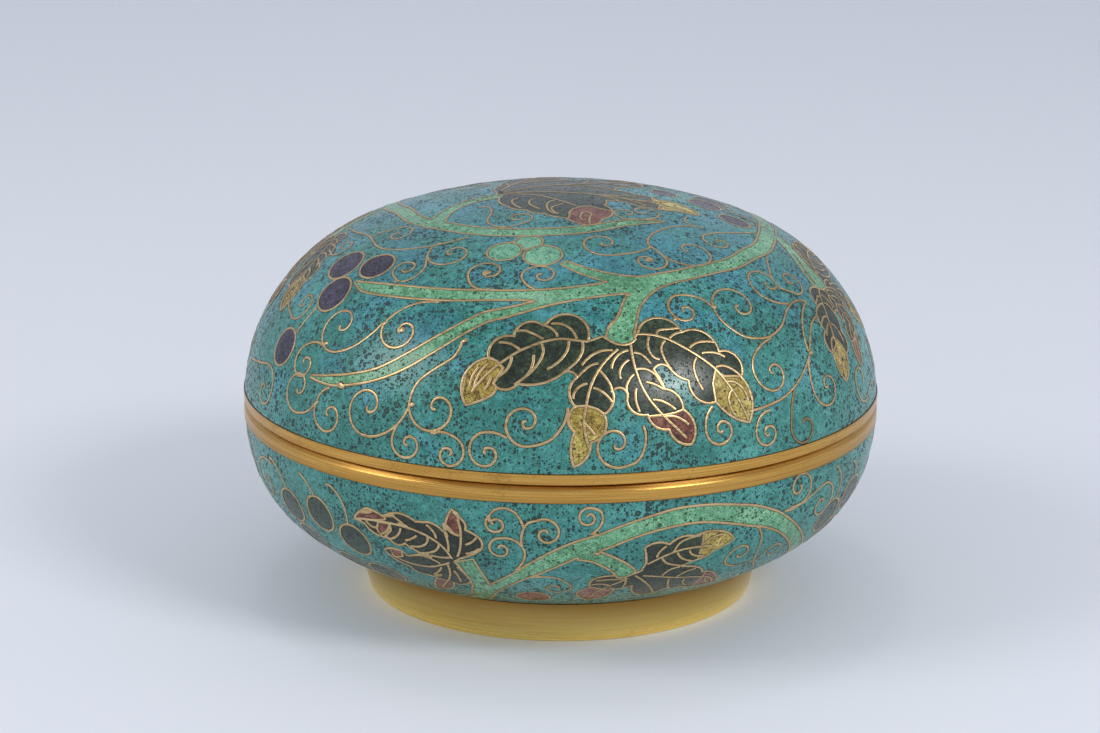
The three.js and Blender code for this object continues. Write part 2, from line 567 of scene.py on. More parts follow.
BIG_LEAF = Leaf(
    foot=(12.0, 23.8),
    edge=(
        (8.3, 24.4, 0), (5.2, 23.4, 0.9), (-2.9, 27.2, 0), (-3.6, 26.6, 0.64), (-9.3, 24.2, 0.58),
        (-13.6, 19.9, 0.54), (-16.5, 11.2, 0.1), (-12, 13.3, 0.2), (-11.4, 14.7, 0.4), (-7.6, 15.5, 0.28),
        (0.8, 17.9, -0.35), (3, 16.8, 0.48), (2.6, 11.6, 0.55), (2.4, 7.3, 0.2), (2.3, 1.3, 0.36),
        (5.1, 5.5, 0.56), (7.4, 10.2, 0.38), (9.2, 14.2, -0.75), (11.8, 13.2, 0.41), (13.3, 10, 0.15),
        (15.1, 9.8, 0.44), (18.7, 7, 0.39), (22.5, 4, 0.45), (21.6, 10.1, 0.4), (18.7, 14, 0.1),
        (17.2, 17.6, -0.6), (20.5, 17.4, 0.2), (23.6, 15.1, 0.6), (28.1, 10.8, 0.24), (34.2, 6.3, 0.33),
        (34.4, 14.3, 0.7), (31.3, 19.5, 0.55), (24.8, 24.1, 0.72), (15.6, 24.8, -0.5),
    ),
    tips=(
        Tip(
            Glass.STRAW,
            (
                (-17.5, 20.2), (-13.6, 20), (-11.8, 19.3), (-10.6, 18.2), (-11.5, 16.3), (-12, 15.3),
                (-11.4, 14.7), (-11, 12), (-17.5, 10),
            ),
        ),
        Tip(Glass.STRAW, ((1, 11.9), (2.6, 11.7), (4.5, 11.8), (6.3, 11.2), (8.4, 9.6), (8, 0), (0, 0))),
        Tip(Glass.WINE, ((14, 9.2), (15.1, 9.5), (18, 9.5), (20, 9.7), (22.6, 10.4), (24.5, 3), (16, 4))),
        Tip(
            Glass.STRAW,
            (
                (27.4, 10.4), (28.1, 10.8), (28.2, 14), (29.3, 16.3), (30.8, 15), (32.5, 14.8),
                (35.2, 14.2), (36, 5), (30, 6),
            ),
        ),
    ),
    veins=(
        (
            (5.3, 23.4), (3, 23.7), (0, 24), (-3, 23.5), (-5.5, 22.6), (-8, 21.4), (-10, 20), (-12.5, 17.9),
            (-14.5, 15.5), (-15.8, 13.5),
        ),
        ((-3.5, 26.7), (-1.8, 26), (-0.8, 25), (-0.6, 24.4)),
        ((-2, 27), (0, 27), (2, 26), (3.2, 24)),
        ((-9, 25.3), (-7, 25.4), (-5, 24.7), (-3.4, 23.9)),
        ((-12.1, 22.9), (-10, 22.8), (-8.5, 22.2), (-7.6, 21.5)),
        ((-3.7, 23), (-3.3, 21.5), (-4, 19.5), (-5.5, 17.5), (-6.7, 16.5), (-8.2, 15.3)),
        ((1.6, 23.5), (1.2, 21.7), (0, 20), (-1.2, 19), (-2.5, 18.2)),
        ((4.3, 23.4), (4.1, 21.5), (3, 19.7), (1.5, 18.4), (0.5, 17.6)),
        ((-5.1, 20.8), (-5.3, 18.5), (-6.3, 16.8)),
        ((-9.2, 20.3), (-9.8, 18), (-11.2, 16.6), (-12, 16)),
        ((-15.5, 14), (-14.8, 17), (-13.5, 18.8)),
        ((-16.3, 14.5), (-16, 16.5), (-15.2, 18)),
        ((-13.5, 14), (-12.8, 15.5), (-12.6, 16.5)),
        ((11, 21.8), (8.5, 19.8), (6.9, 18), (5.3, 15), (4.5, 12), (4, 9), (4.3, 6.5), (4.8, 4.5)),
        ((10, 21.6), (8, 21.6), (6, 20.9), (4.5, 19.7), (3.9, 19)),
        ((7, 19.3), (5.5, 18.9), (4, 17.8), (3.2, 17)),
        ((4.8, 15.7), (3.3, 15.1), (2.4, 14), (2.2, 13)),
        ((7.2, 17.9), (8.3, 16.5), (9, 15), (9, 14)),
        ((5.8, 14.9), (7.2, 14.3), (8.3, 13.3), (9, 12.3)),
        ((3.9, 9), (5, 7.8), (5.8, 6.8)),
        ((2.5, 11.7), (1.8, 10.8), (1.4, 9.8)),
        ((12.9, 21.5), (11, 20.8), (9.8, 19.5), (9.4, 18.2)),
        ((12.8, 19.7), (11.5, 18.8), (10.8, 17.5), (10.9, 16.3)),
        (
            (13.7, 23), (13.6, 20), (13.9, 17.5), (14.5, 15), (15.6, 12.5), (17, 10.5), (18.5, 8.7),
            (20.3, 6.8), (21.7, 5.2),
        ),
        ((13.4, 17), (12.3, 16), (11.7, 14.5), (11.9, 13.5)),
        ((13.5, 14.5), (13.2, 12.5), (13.5, 11), (13.7, 10.4)),
        ((14, 21), (15.5, 20.5), (16.4, 19.5), (16.9, 18.7)),
        ((14, 17.9), (15.8, 17.8), (17.3, 16.8), (18.2, 15), (18.7, 14.2)),
        ((15.5, 15.5), (17, 15), (18.5, 14)),
        ((16.3, 12.3), (17.8, 12), (19.2, 11.2), (20.2, 10.3)),
        ((18, 9.2), (19.5, 9.2), (21, 8.6), (22.3, 7.5)),
        (
            (15.5, 24.5), (17, 24.4), (19, 24), (21.5, 23), (24.5, 21), (27, 19), (29.5, 16.5), (31, 14),
            (32.3, 11.5), (33.3, 9), (34, 6.8),
        ),
        ((19.3, 24), (20, 24.9), (22, 25), (24.5, 25)),
        ((21.8, 23.2), (23.5, 24), (25, 24.1)),
        ((25.3, 20.9), (27, 21.7), (29, 21.8), (30.9, 21.4)),
        ((27.5, 19.7), (29, 19.7), (31, 19.2), (32.2, 18.4)),
        ((20.7, 22.8), (19.6, 21.5), (19.7, 19.5), (20.6, 17.5)),
        ((17.6, 23.8), (17, 21.5), (17.6, 20), (18.7, 19.4)),
        ((26.2, 19), (25.2, 17.5), (25.2, 15.5), (26, 13.2)),
        ((29.6, 16.8), (31.5, 16.8), (33.5, 15.5), (34.4, 14.4)),
        ((31, 14), (33, 13.5), (34.3, 12), (34.7, 10)),
        ((31.7, 12.3), (30.8, 11), (31, 8.8), (31.5, 8)),
    ),
)

LID_BRANCH: tuple[Mark, ...] = (
    BIG_LEAF,
    Stem(
        (
            (23, 35.9), (17, 35.4), (10, 34.8), (0, 33.6), (-8, 33.3), (-15, 32.9), (-25, 32), (-35, 31.2),
            (-45, 30.3), (-50, 29.9), (-54, 30.2),
        ),
        (3.2, 3.6, 3.2, 3.3, 2.5, 2.4, 2.7, 2.8, 2.7, 2.2, 0.5),
    ),
    Stem(
        (
            (6, 33.4), (1, 32.8), (-3, 31.9), (-8, 30.3), (-12, 29), (-16, 27.8), (-20, 25.2), (-25, 21.3),
            (-30, 17.4), (-35, 14.4), (-40, 12.6), (-45, 11.4), (-50.8, 10.9),
        ),
        (1.6, 1.8, 1.8, 1.8, 2.1, 2.3, 2.3, 2.6, 2.6, 2.1, 2, 1.9, 0.5),
    ),
    Stem(((24, 36.3), (18, 36.4), (11, 38.4), (5.5, 40.6), (0.5, 43)), (2.4, 3.2, 2.6, 2.2, 1.5)),
    Stem(
        (
            (21.5, 36.6), (19.6, 34.6), (17.6, 32.6), (15.9, 30.8), (14.8, 29), (13.6, 27), (12.3, 25.2),
            (11.9, 23.9),
        ),
        (2, 3.2, 3.2, 3.1, 3.1, 3.6, 4.8, 5.2),
        round_end=0.5,
    ),
    Stem(((17.5, 32.0), (19.8, 34.0), (23, 35.4), (28.5, 36.3)), (2.6, 3.2, 3.0, 2.6)),
    Grape((-12.3, 49.7), 2.6, Glass.UNRIPE),
    Grape((-18.9, 45.9), 3.15, Glass.UNRIPE),
    Grape((-5.9, 45.3), 3.45, Glass.UNRIPE),
    Scroll(((-28.5, 29.9), (-33, 28.9), (-36.2, 26.6), (-38, 23.6)), (-33.2, 23.2), 1.25, filled=True),
    Scroll(((-38.4, 23.8), (-40.3, 20.6), (-43.5, 17.7), (-47.5, 16.2)), (-48.2, 21.2), -1.3),
    Scroll(((-51, 16.8), (-54, 16.7), (-56.5, 15)), (-53.8, 12.8), 1.2),
    Scroll(((-45, 10), (-46.8, 8.8), (-47.6, 6.8)), (-43.8, 5.6), 1.25),
    Scroll(((-47.8, 6.6), (-49.8, 4.6), (-52.5, 3.8)), (-53.2, 8), -1.3),
    Scroll(((-19.5, 22.5), (-20.2, 19.7), (-23.5, 16.9), (-26.3, 14), (-27.1, 10.5)), (-22, 10.4), 1.35),
    Scroll(((-27, 9.9), (-28.3, 7), (-30.8, 4.6), (-33.8, 3.4)), (-34.9, 8.3), -1.4),
    Scroll(((-28.6, 6.6), (-29.4, 4.6)), (-26.4, 3.5), 1.3),
    Scroll(((-22.3, 5.7), (-20, 6.1), (-17.6, 5.3)), (-19, 2.6), -1.3),
    Scroll(((1.3, 11.5), (0.5, 8.5), (-1.8, 5.8), (-6, 4.7)), (-5.7, 8.6), -1.5),
    Scroll(((-9, 6), (-11, 6.8), (-13.4, 6.6)), (-12.1, 3.3), 1.3),
    Scroll(((14.2, 8), (14.4, 5), (13, 2), (10.3, 1)), (9.6, 4.9), -1.3),
    Scroll(((27.2, 10), (25.8, 8.3), (25.4, 6)), (28.4, 6), 1.4),
    Wire(
        (
            (34.5, 8.2), (38, 8.4), (42, 9), (45, 10), (48, 11.5), (50.5, 13.1), (53, 15), (55, 17.2),
            (57, 19), (59, 20.2), (62, 20.8),
        ),
    ),
    Scroll(((45.8, 9.9), (44.4, 7.6), (43.6, 4.8)), (46.9, 3.3), 1.0, tarnished=True),
    Scroll(((39, 7.6), (36.8, 6.9), (35.5, 4.9)), (38, 3.9), 1.4),
    Scroll(((44.8, 20), (41, 19), (38.4, 17.2)), (42, 14.2), 1.3),
    Scroll(((34.6, 27.8), (32.8, 30.5), (29, 31.9)), (27.8, 28.4), 1.4),
    Scroll(
        ((62, 24.2), (58, 25), (54, 24.2), (49, 21.5), (44, 20.3), (38.5, 21.4), (35, 25)),
        (41, 27),
        -1.4,
    ),
    Scroll(((55.5, 25.1), (52, 26.2), (49.4, 28.4)), (54.4, 30), -1.3),
    Wire(((62, 24), (58.5, 22.8), (55.5, 20.5), (53.8, 18), (53.3, 15.6))),
    Scroll(((53.5, 15.5), (51.6, 13), (50.9, 10)), (55.3, 9), 1.4),
    Wire(
        ((-41, 33), (-38.8, 34.3), (-38.2, 37.2), (-40, 39.4), (-42.3, 41.5), (-43.9, 43.6), (-43.4, 45.5)),
    ),
    Scroll(((-40.9, 40.5),), (-35.4, 43.3), 1.3),
    Scroll(((-41.5, 32.8), (-44.6, 33.8)), (-43.2, 36.2), -1.2),
    Scroll(((-18, 33.9), (-22, 34.7), (-24.4, 36.9)), (-19.8, 38.6), -1.4, filled=True),
    Scroll(((-6.3, 34.9), (-8.9, 36.3), (-10.3, 38)), (-5.2, 38.6), -1.3),
    Scroll(((31, 46.3), (23.8, 45.2), (14.1, 45.1)), (15.9, 49.2), -1.3),
    Scroll(((31.5, 46.7), (32.1, 42.3)), (26.5, 42.3), -1.2, filled=True),
    Wire(((31, 46.3), (32.2, 48.2), (35.5, 50), (42.5, 51.4), (51.8, 51.5), (59, 50.2), (63.2, 48.1))),
    Scroll(((32.2, 43.8),), (42.5, 43.5), 1.2),
    Blob((-43.4, 11.1), (-41.6, 10.7), 2.2),
    Blob((-38.4, 23.6)),
    Blob((-28.5, 29.8)),
    Blob((-50.8, 17)),
    Blob((-43, 32.6)),
    Blob((-18.3, 33.9)),
    Blob((-19.5, 22.5)),
    Blob((-27, 9.9)),
    Blob((-48, 6.5)),
    Blob((34.6, 28)),
    Blob((53.5, 15)),
    Blob((24, 26.7)),
    Blob((15.2, 33.3), (16.4, 33.0)),
    Blob((-22, 5.7)),
)

LID_SIDES: tuple[Mark, ...] = (
    LeafCopy(BIG_LEAF, Pose((74, 25), 24, 0.74, mirror=True)),
    LeafCopy(BIG_LEAF, Pose((-93.5, 33.8), -4, 0.8)),
    Stem(((87, 36.4), (80.5, 32.8), (76.2, 29.4), (74, 25.4)), (2.8, 3.4, 4.4, 6.0), round_end=0.5),
    Wire(((79, 32), (75.8, 29.9), (73.4, 27.6), (72.6, 25.6))),
    Stem(((-110, 41.5), (-103, 38.8), (-98, 36.2), (-94, 33.2)), (2.4, 2.6, 2.8, 3.4), round_end=0.5),
    Grape((-57.5, 26.4), 3.85),
    Grape((-63.9, 32.5), 3.8),
    Grape((-53.1, 35), 3.5),
    Grape((-63, 13.6), 3.5),
    Wire(((-61, 17), (-60.6, 19), (-59.5, 22.6))),
    Scroll(((-73, 21), (-70.5, 19.9), (-67.3, 19.2)), (-65.4, 22.2), 1.3),
    Scroll(((-80, 32.4), (-76.5, 32.4)), (-75.4, 35), 1.2),
    Wire(
        (
            (-90.5, 37), (-82, 38.5), (-74.5, 40), (-67.5, 39.6), (-61.5, 39.1), (-54.8, 40.1), (-49.5, 42),
            (-44.8, 43.9), (-41, 46.2), (-36.5, 49.2),
        ),
    ),
    Scroll(((-71, 40), (-72.2, 42), (-70, 44.4)), (-64.2, 43.8), -1.25),
    Scroll(((-78, 7.2), (-71, 8.4), (-67, 9.2)), (-66.3, 4.7), -1.3),
    Scroll(((65.2, 35.3), (60.4, 33), (57.4, 30.6), (57.2, 28.6), (59.6, 27)), (62.8, 29), 1.3),
    Scroll(((77, 4), (73, 3.2)), (69.8, 6.4), -1.1),
    Scroll(((-90, 10), (-86, 13.5), (-84, 17)), (-88.5, 17.4), 1.3),
    Scroll(((-96, 5), (-91, 3.6), (-86.5, 4.2)), (-87, 8), 1.3),
    Scroll(((104, 17), (99, 17.6), (95, 15.8)), (94.6, 11.6), 1.3),
    Scroll(((98, 7), (92.5, 6.8), (88, 4.6)), (85.5, 8), -1.3),
    Grape((84.5, 44.8), 3.0),
    Grape((98.5, 50.1), 3.3),
    Grape((109.5, 57), 2.5),
    Grape((110, 47), 3.2),
    Wire(((92, 38.5), (89.6, 40.2), (87, 42))),
    Wire(((91.4, 39), (94.6, 42.4), (97.6, 46.8))),
    Wire(((96.4, 44.8), (101, 45), (105, 46))),
    Grape((116, 27.5), 3.6),
    Grape((108.5, 22), 3.6),
    Grape((107, 30.3), 3.5),
    Wire(((113, 34.6), (114.4, 32.8), (115.4, 31.2))),
)

LID_VINES: tuple[Mark, ...] = (
    Stem(
        (
            (180, 33.8), (168, 33.6), (156, 33.9), (145, 35), (132, 36.3), (120, 37.2), (108, 37.7),
            (97, 37.6), (89.6, 38.1), (79.5, 38.1), (69.4, 37.5), (60.3, 37.7), (51.1, 37), (42.6, 37.1),
            (33.3, 36.8), (25.9, 36.4), (19.9, 35.8), (14, 35.2),
        ),
        (3.2, 3.2, 3.2, 3.2, 3.3, 3.4, 3.4, 3.4, 3.4, 3.4, 3.4, 3.2, 3, 2.8, 3, 3.1, 3.4, 2.4),
    ),
    Stem(
        (
            (194, 35.2), (199.9, 35.8), (208, 36.4), (218, 37), (230, 37.8), (240, 39.4), (250, 42.4),
            (261.4, 45.7), (269.5, 47.7), (280.6, 48.7), (290.2, 49.3), (300.3, 50.3), (310.3, 51.1),
            (319.3, 51.6), (330, 52.3), (341.8, 53.2), (353.3, 54.1), (366.9, 54.9), (377.5, 55.6),
            (385.5, 56.2), (392.5, 56.4), (399.5, 56), (405.5, 55.2), (412.5, 53.9),
        ),
        (
            2.4, 3.4, 3.2, 3.1, 3.1, 3.1, 3.1, 3, 3, 3, 3, 3, 3, 3, 3, 2.9, 2.9, 2.9, 2.8, 2.6, 2.4, 2.1,
            1.5, 0.5,
        ),
    ),
    Stem(
        (
            (-56.5, 49.6), (-61, 51.6), (-66, 53.6), (-70, 55.6), (-74, 58.2), (-77, 61), (-78, 64),
            (-76, 66.2),
        ),
        (3.6, 3, 2.7, 2.6, 2.6, 2.6, 2.6, 2.6),
    ),
)

CROWN = 75.9


def crown(x: float, y: float) -> Spot:
    """The spot these millimetres to the right of the lid's top and behind it."""
    return math.degrees(math.atan2(x, -y)), CROWN - math.hypot(x, y)


def crown_line(*places: Spot) -> tuple[Spot, ...]:
    """Spots on the crown, from millimetres to the right of the lid's top and behind it."""
    return tuple(crown(*place) for place in places)


def crown_edge(*bends: Bend) -> tuple[Bend, ...]:
    """A leaf's edge on the crown, from the same millimetres and the bend after each corner."""
    return tuple((*crown(x, y), bend) for x, y, bend in bends)


TOP_LEAF = Leaf(
    foot=crown(-10, -1.5),
    edge=crown_edge(
        (-10.4, 0.7, 0.05), (-9.9, -4, 0.25), (-8.7, -8.7, 0.35), (-5.7, -11.2, 0.35), (-2.9, -13.2, 0.2),
        (0.5, -15.5, 0.15), (4.7, -18.9, 0.25), (6.8, -15.3, 0.35), (8.2, -11.9, 0.3), (6.7, -8.4, 0.2),
        (6.8, -5.6, -0.2), (10.4, -5.6, 0.35), (15.2, -7.1, 0.3), (19.4, -6.4, 0.1), (24.2, -6.1, 0.2),
        (21.4, -2.2, 0.35), (16.5, -1, 0.35), (12, 0, 0.3), (8, 1.5, -0.2), (11, 6, 0.35), (14, 11, 0.2),
        (12.5, 16, 0.3), (7, 13.5, 0.35), (2.5, 9, -0.3), (0, 13, 0.35), (-4.5, 16.5, 0.25), (-8, 12, 0.35),
        (-9.8, 6, 0.3),
    ),
    tips=(
        Tip(
            Glass.WINE,
            crown_line(
                (1.3, -14.6), (1.3, -12.6), (1.8, -10.9), (2.8, -9.6), (4.5, -9), (6, -10.3), (9.5, -11.5),
                (9, -21), (0, -21),
            ),
        ),
        Tip(Glass.STRAW, crown_line((15, 0.5), (15.4, -3.4), (16.6, -5), (16.2, -8.5), (26, -9), (26, 0))),
        Tip(Glass.WINE, crown_line((15, 10.4), (11, 12.3), (8.5, 15), (8, 18), (15, 18))),
    ),
    veins=(
        crown_line((-9.3, -1.4), (-3.1, -2.8), (-0.9, -5.2), (0.6, -7.1), (2.4, -9.3)),
        crown_line(
            (4.7, -18), (4.6, -15.2), (4.9, -13.4), (4.3, -12.4), (3.6, -12.5), (3.1, -14.3), (3.3, -15.9),
            (4.1, -16.3),
        ),
        crown_line((-6.6, -4.8), (-7.4, -5), (-7.8, -6.6), (-7.4, -8.5), (-6.4, -10.3)),
        crown_line((-3.8, -5), (-4.6, -5.7), (-5, -7.4), (-4.5, -9.3), (-3.3, -10.9)),
        crown_line((-0.9, -5.7), (-2, -7.4), (-2.3, -9.7), (-1.9, -12.1), (-1, -13.3)),
        crown_line((0.3, -7.8), (-0.6, -8.8), (-1.6, -10.4), (-1.2, -12.4), (-0.5, -13.6)),
        crown_line((-9, -0.8), (-2, -0.8), (5, -2.2), (12, -3.6), (18, -4.1), (23, -5.6)),
        crown_line((4, -2), (7, -3.4), (9, -5.2)),
        crown_line((8, -2.9), (12, -4.6), (14, -6.5)),
        crown_line((6, -2.3), (10, -1.7), (13, -0.6)),
        crown_line((12, -3.5), (16, -2.6), (18, -1.5)),
        crown_line((-9, 0.3), (-2, 2.5), (5, 6.5), (10, 11.5), (12, 15)),
        crown_line((0, 3.5), (4, 3), (8, 2.3)),
        crown_line((3, 5.3), (4, 8), (4.4, 10.3)),
        crown_line((6.5, 7.8), (9, 7.6), (11.4, 7)),
        crown_line((-9.6, 1.4), (-7.6, 7), (-5.8, 12), (-4.8, 15.6)),
        crown_line((-7.8, 6.3), (-4.5, 7.8), (-1, 8.4), (1.9, 9.2)),
        crown_line((-8.2, 5.2), (-9, 7.2), (-9.2, 9)),
        crown_line((-6.3, 10.8), (-4, 11.8), (-1.2, 12)),
    ),
)

LID_TOP: tuple[Mark, ...] = (
    TOP_LEAF,
    Scroll(((80.5, 40.3), (71, 43.3), (64.8, 45.4), (60, 46.2)), (57.8, 43.2), 1.3),
    Scroll(((52, 55.8), (46, 56.2), (41, 57.2)), (43, 60), -1.2),
    Scroll(((44, 56.2), (50, 56.1)), (53.5, 59), 1.2),
    Wire(((67.8, 52.6), (62, 51.8), (60.8, 49.9))),
    Wire(
        (
            (-22.8, 54.4), (-29, 54.5), (-35.2, 55), (-39.5, 56.3), (-43, 58.6), (-49, 60.6), (-56, 61.2),
            (-60, 59.8),
        ),
    ),
    Scroll(((-30, 54.6), (-24, 55.4), (-19.5, 57.4)), (-25, 59.2), 1.2),
    Scroll(((118, 38.8), (124, 42), (128, 46)), (137, 45), -1.3),
    Scroll(((150, 36), (152, 40), (148, 44)), (158, 46), -1.3),
    Scroll(((200, 37.6), (196, 41), (188, 43.4)), (184, 38.6), 1.3),
    Scroll(((172, 60), (180, 56.6), (192, 55)), (198, 60), -1.25),
    Scroll(((150, 61), (140, 57.5), (132, 54.5)), (146, 53), 1.3),
    Scroll(((-150, 58), (-140, 54.6), (-128, 53.8)), (-126, 58), 1.25),
)


# The pattern on the bowl

BOWL_LEAF = Leaf(
    foot=(-18.6, 13.0),
    edge=(
        (-19, 13.3, 0), (-17.6, 12.3, 0.05), (-13.9, 10, 0.5), (-14.2, 6.9, 0.1), (-16.1, 5.9, 0.1),
        (-16, 4.8, 0.15), (-17.4, 3.2, 0.1), (-18.3, 2.1, 0.12), (-19.8, 6, 0.05), (-20.2, 6.7, 0.35),
        (-23.8, 5.4, 0.1), (-25.2, 5.5, 0.4), (-31.5, 5.7, 0.12), (-35, 4.7, 0.15), (-38.3, 7.4, 0.08),
        (-36, 8, 0.15), (-34.4, 9.6, 0.15), (-31.5, 10, 0.1), (-30.2, 11.2, 0.3), (-28, 10.5, 0.2),
        (-26.8, 11.5, 0.1), (-25, 12.4, -0.05), (-28.4, 13.7, 0.3), (-30.5, 12.4, 0.2), (-33.2, 13.3, 0.25),
        (-29, 16.8, 0.1), (-28.7, 17.8, 0.3), (-26, 19, 0.1), (-24.2, 19.5, 0.05), (-25.5, 21.5, 0.05),
        (-28, 27, 0.25), (-21.5, 21.8, 0), (-21.3, 20.8, 0.2), (-20, 21.5, 0.2), (-17.2, 19.4, 0.2),
        (-18.3, 15, 0.05),
    ),
    tips=(
        Tip(Glass.WINE, ((-38.8, 3), (-31, 3), (-31.3, 6.2), (-33.5, 6.8), (-36, 7.1), (-39.5, 7.6))),
        Tip(Glass.WINE, ((-32.9, 7), (-30.4, 6.9), (-30.4, 8.2), (-32.5, 10.4), (-33.4, 8.7))),
        Tip(Glass.WINE, ((-29, 20.2), (-24, 20), (-22.4, 20.4), (-20.6, 21.2), (-21.3, 25), (-29, 28.5))),
        Tip(
            Glass.WINE,
            (
                (-20.5, 4.8), (-19.5, 1.6), (-17.3, 2.2), (-17.2, 4.3), (-17, 7.2), (-18.2, 6.9),
                (-19.4, 5.4),
            ),
        ),
        Tip(Glass.WINE, ((-31.8, 12.6), (-29.3, 12.6), (-29.6, 14.2), (-31.6, 14.8))),
    ),
    veins=(
        (
            (-19.3, 12.7), (-20.3, 10.5), (-21.5, 9.2), (-23.5, 8), (-26, 7.2), (-29, 6.8), (-32, 6.8),
            (-35, 7), (-38, 7.4),
        ),
        ((-31.8, 5.6), (-30, 5.1), (-28.5, 5.8), (-27.3, 6.8)),
        ((-23.2, 5.8), (-22, 7), (-21.6, 8.3)),
        ((-23.2, 8.3), (-23.7, 9.8), (-25.2, 10.8), (-27, 11)),
        ((-21.2, 9.5), (-22, 11), (-23.5, 11.9), (-25, 12.2)),
        ((-28.3, 7.3), (-29, 8.8), (-30.3, 9.9), (-31.5, 10.4)),
        ((-30.5, 7), (-31.3, 8.5), (-33, 9.6)),
        ((-25.3, 8.4), (-26.5, 9.3), (-27.8, 9.9)),
        ((-19.5, 12.4), (-21.5, 12.7), (-23.3, 12.5)),
        ((-18.2, 12), (-17.4, 10), (-17, 7.5), (-17, 5.5), (-17.4, 4)),
        ((-19.7, 11), (-19.5, 9), (-19.8, 7)),
        ((-16.3, 9), (-15, 8.2), (-14.2, 7.2)),
        ((-16.5, 11), (-15.5, 10.7), (-14.5, 10)),
        ((-20, 13.8), (-22, 14.9), (-24.5, 15.9), (-27.5, 16), (-30, 15.4), (-32, 14.2)),
        ((-22, 14.5), (-23.2, 13.6), (-25, 13), (-27, 13.3)),
        ((-20.5, 14.3), (-20.7, 17), (-21.7, 19.5), (-23.5, 22), (-25.5, 25)),
        ((-22, 15.5), (-23, 17), (-24.5, 18.5)),
        ((-19.7, 16), (-19.3, 18), (-19.4, 20)),
        ((-18.8, 14.8), (-17.8, 16.5), (-17.3, 18.5)),
        ((-35.6, 7.3), (-34.6, 8.2), (-33.6, 8.3), (-33, 7.4)),
        ((-19.4, 5.6), (-18.7, 6.7), (-17.3, 7.2)),
    ),
)

LOW_LEAF = Leaf(
    foot=(13.5, 15.9),
    edge=(
        (15, 15, 0), (13.5, 15.9, 0), (9.3, 15.9, 0.15), (6.3, 16.8, 0.3), (6, 19.8, 0.12),
        (3.5, 22.5, 0.15), (4.4, 25.6, 0.05), (6, 27.5, 0.25), (9.8, 25.2, 0.1), (10.8, 21.5, -0.1),
        (12.3, 21, 0.05), (14.3, 20, 0.1), (14.5, 22, 0.2), (18, 26.2, 0.3), (22, 23.5, 0.1), (26, 24, 0.2),
        (35.5, 25, 0.1), (31.5, 19.5, 0.25), (28, 17.9, 0.25), (26, 15.8, 0.1), (24.5, 15.3, -0.1),
        (22.6, 14.6, -0.05), (26.5, 13.3, 0.25), (28, 12, 0.1), (32, 9.9, 0.15), (30, 8.1, 0.25),
        (23.8, 7.9, 0.35), (19.2, 9, 0.35), (14.8, 9.2, -0.05), (15.5, 13, 0.1),
    ),
    tips=(
        Tip(Glass.STRAW, ((25.4, 6), (25.6, 9.2), (25.6, 13.4), (26, 15), (34, 12), (33, 6))),
        Tip(
            Glass.WINE,
            ((2.5, 20), (6.4, 20), (8.2, 20.8), (9.4, 21.6), (11.2, 21.2), (10, 28), (2.5, 28)),
        ),
        Tip(Glass.WINE, ((29, 17), (29.2, 20.2), (29.4, 25.5), (37, 26), (36, 20))),
    ),
    veins=(
        ((15.8, 13.3), (17.5, 12.2), (19.5, 11.2), (22, 10.5), (25, 10.4), (27.5, 10.6)),
        ((17.3, 11.7), (17.6, 10.5), (18.7, 9.3)),
        ((20.3, 10.9), (21.2, 8.9), (22.7, 8.2), (25, 7.9)),
        ((18.3, 12), (19.5, 13.5), (21.5, 14.4), (22.5, 14.7)),
        ((21, 11), (22, 12.5), (24.3, 13.7)),
        ((23.3, 10.8), (24, 12), (26.5, 12.8)),
        ((26, 9.8), (27.5, 8.7), (29.5, 8.5)),
        ((13, 16), (15.3, 14.8)),
        ((14, 16.3), (16.5, 19), (18.5, 22), (20, 25)),
        ((15.5, 16.6), (19, 17.5), (23, 18.7), (27, 19.5), (31, 21), (34, 24.5)),
        ((19.5, 17.2), (20.5, 15.6), (22.4, 15)),
        ((22.8, 18.3), (24, 17), (26, 16.3)),
        ((21.3, 18.7), (21.7, 20.5), (23.3, 24)),
        ((25, 19.6), (25.3, 21.5), (27, 23.3)),
        ((30.3, 20.9), (31, 22.5), (33, 24.5)),
        ((12.2, 16.6), (12.6, 18.5), (12.4, 20.5)),
        ((12.8, 17), (11, 18.6), (9.5, 19.8), (8.2, 21.4), (7.2, 22.8), (6.8, 24.5)),
        ((6.8, 17.4), (9, 17.2), (12, 17.3)),
        ((6.1, 18.8), (8, 18.7), (9.6, 19.5)),
        ((9.7, 20.2), (10.2, 20.8), (10.8, 21.3)),
    ),
)

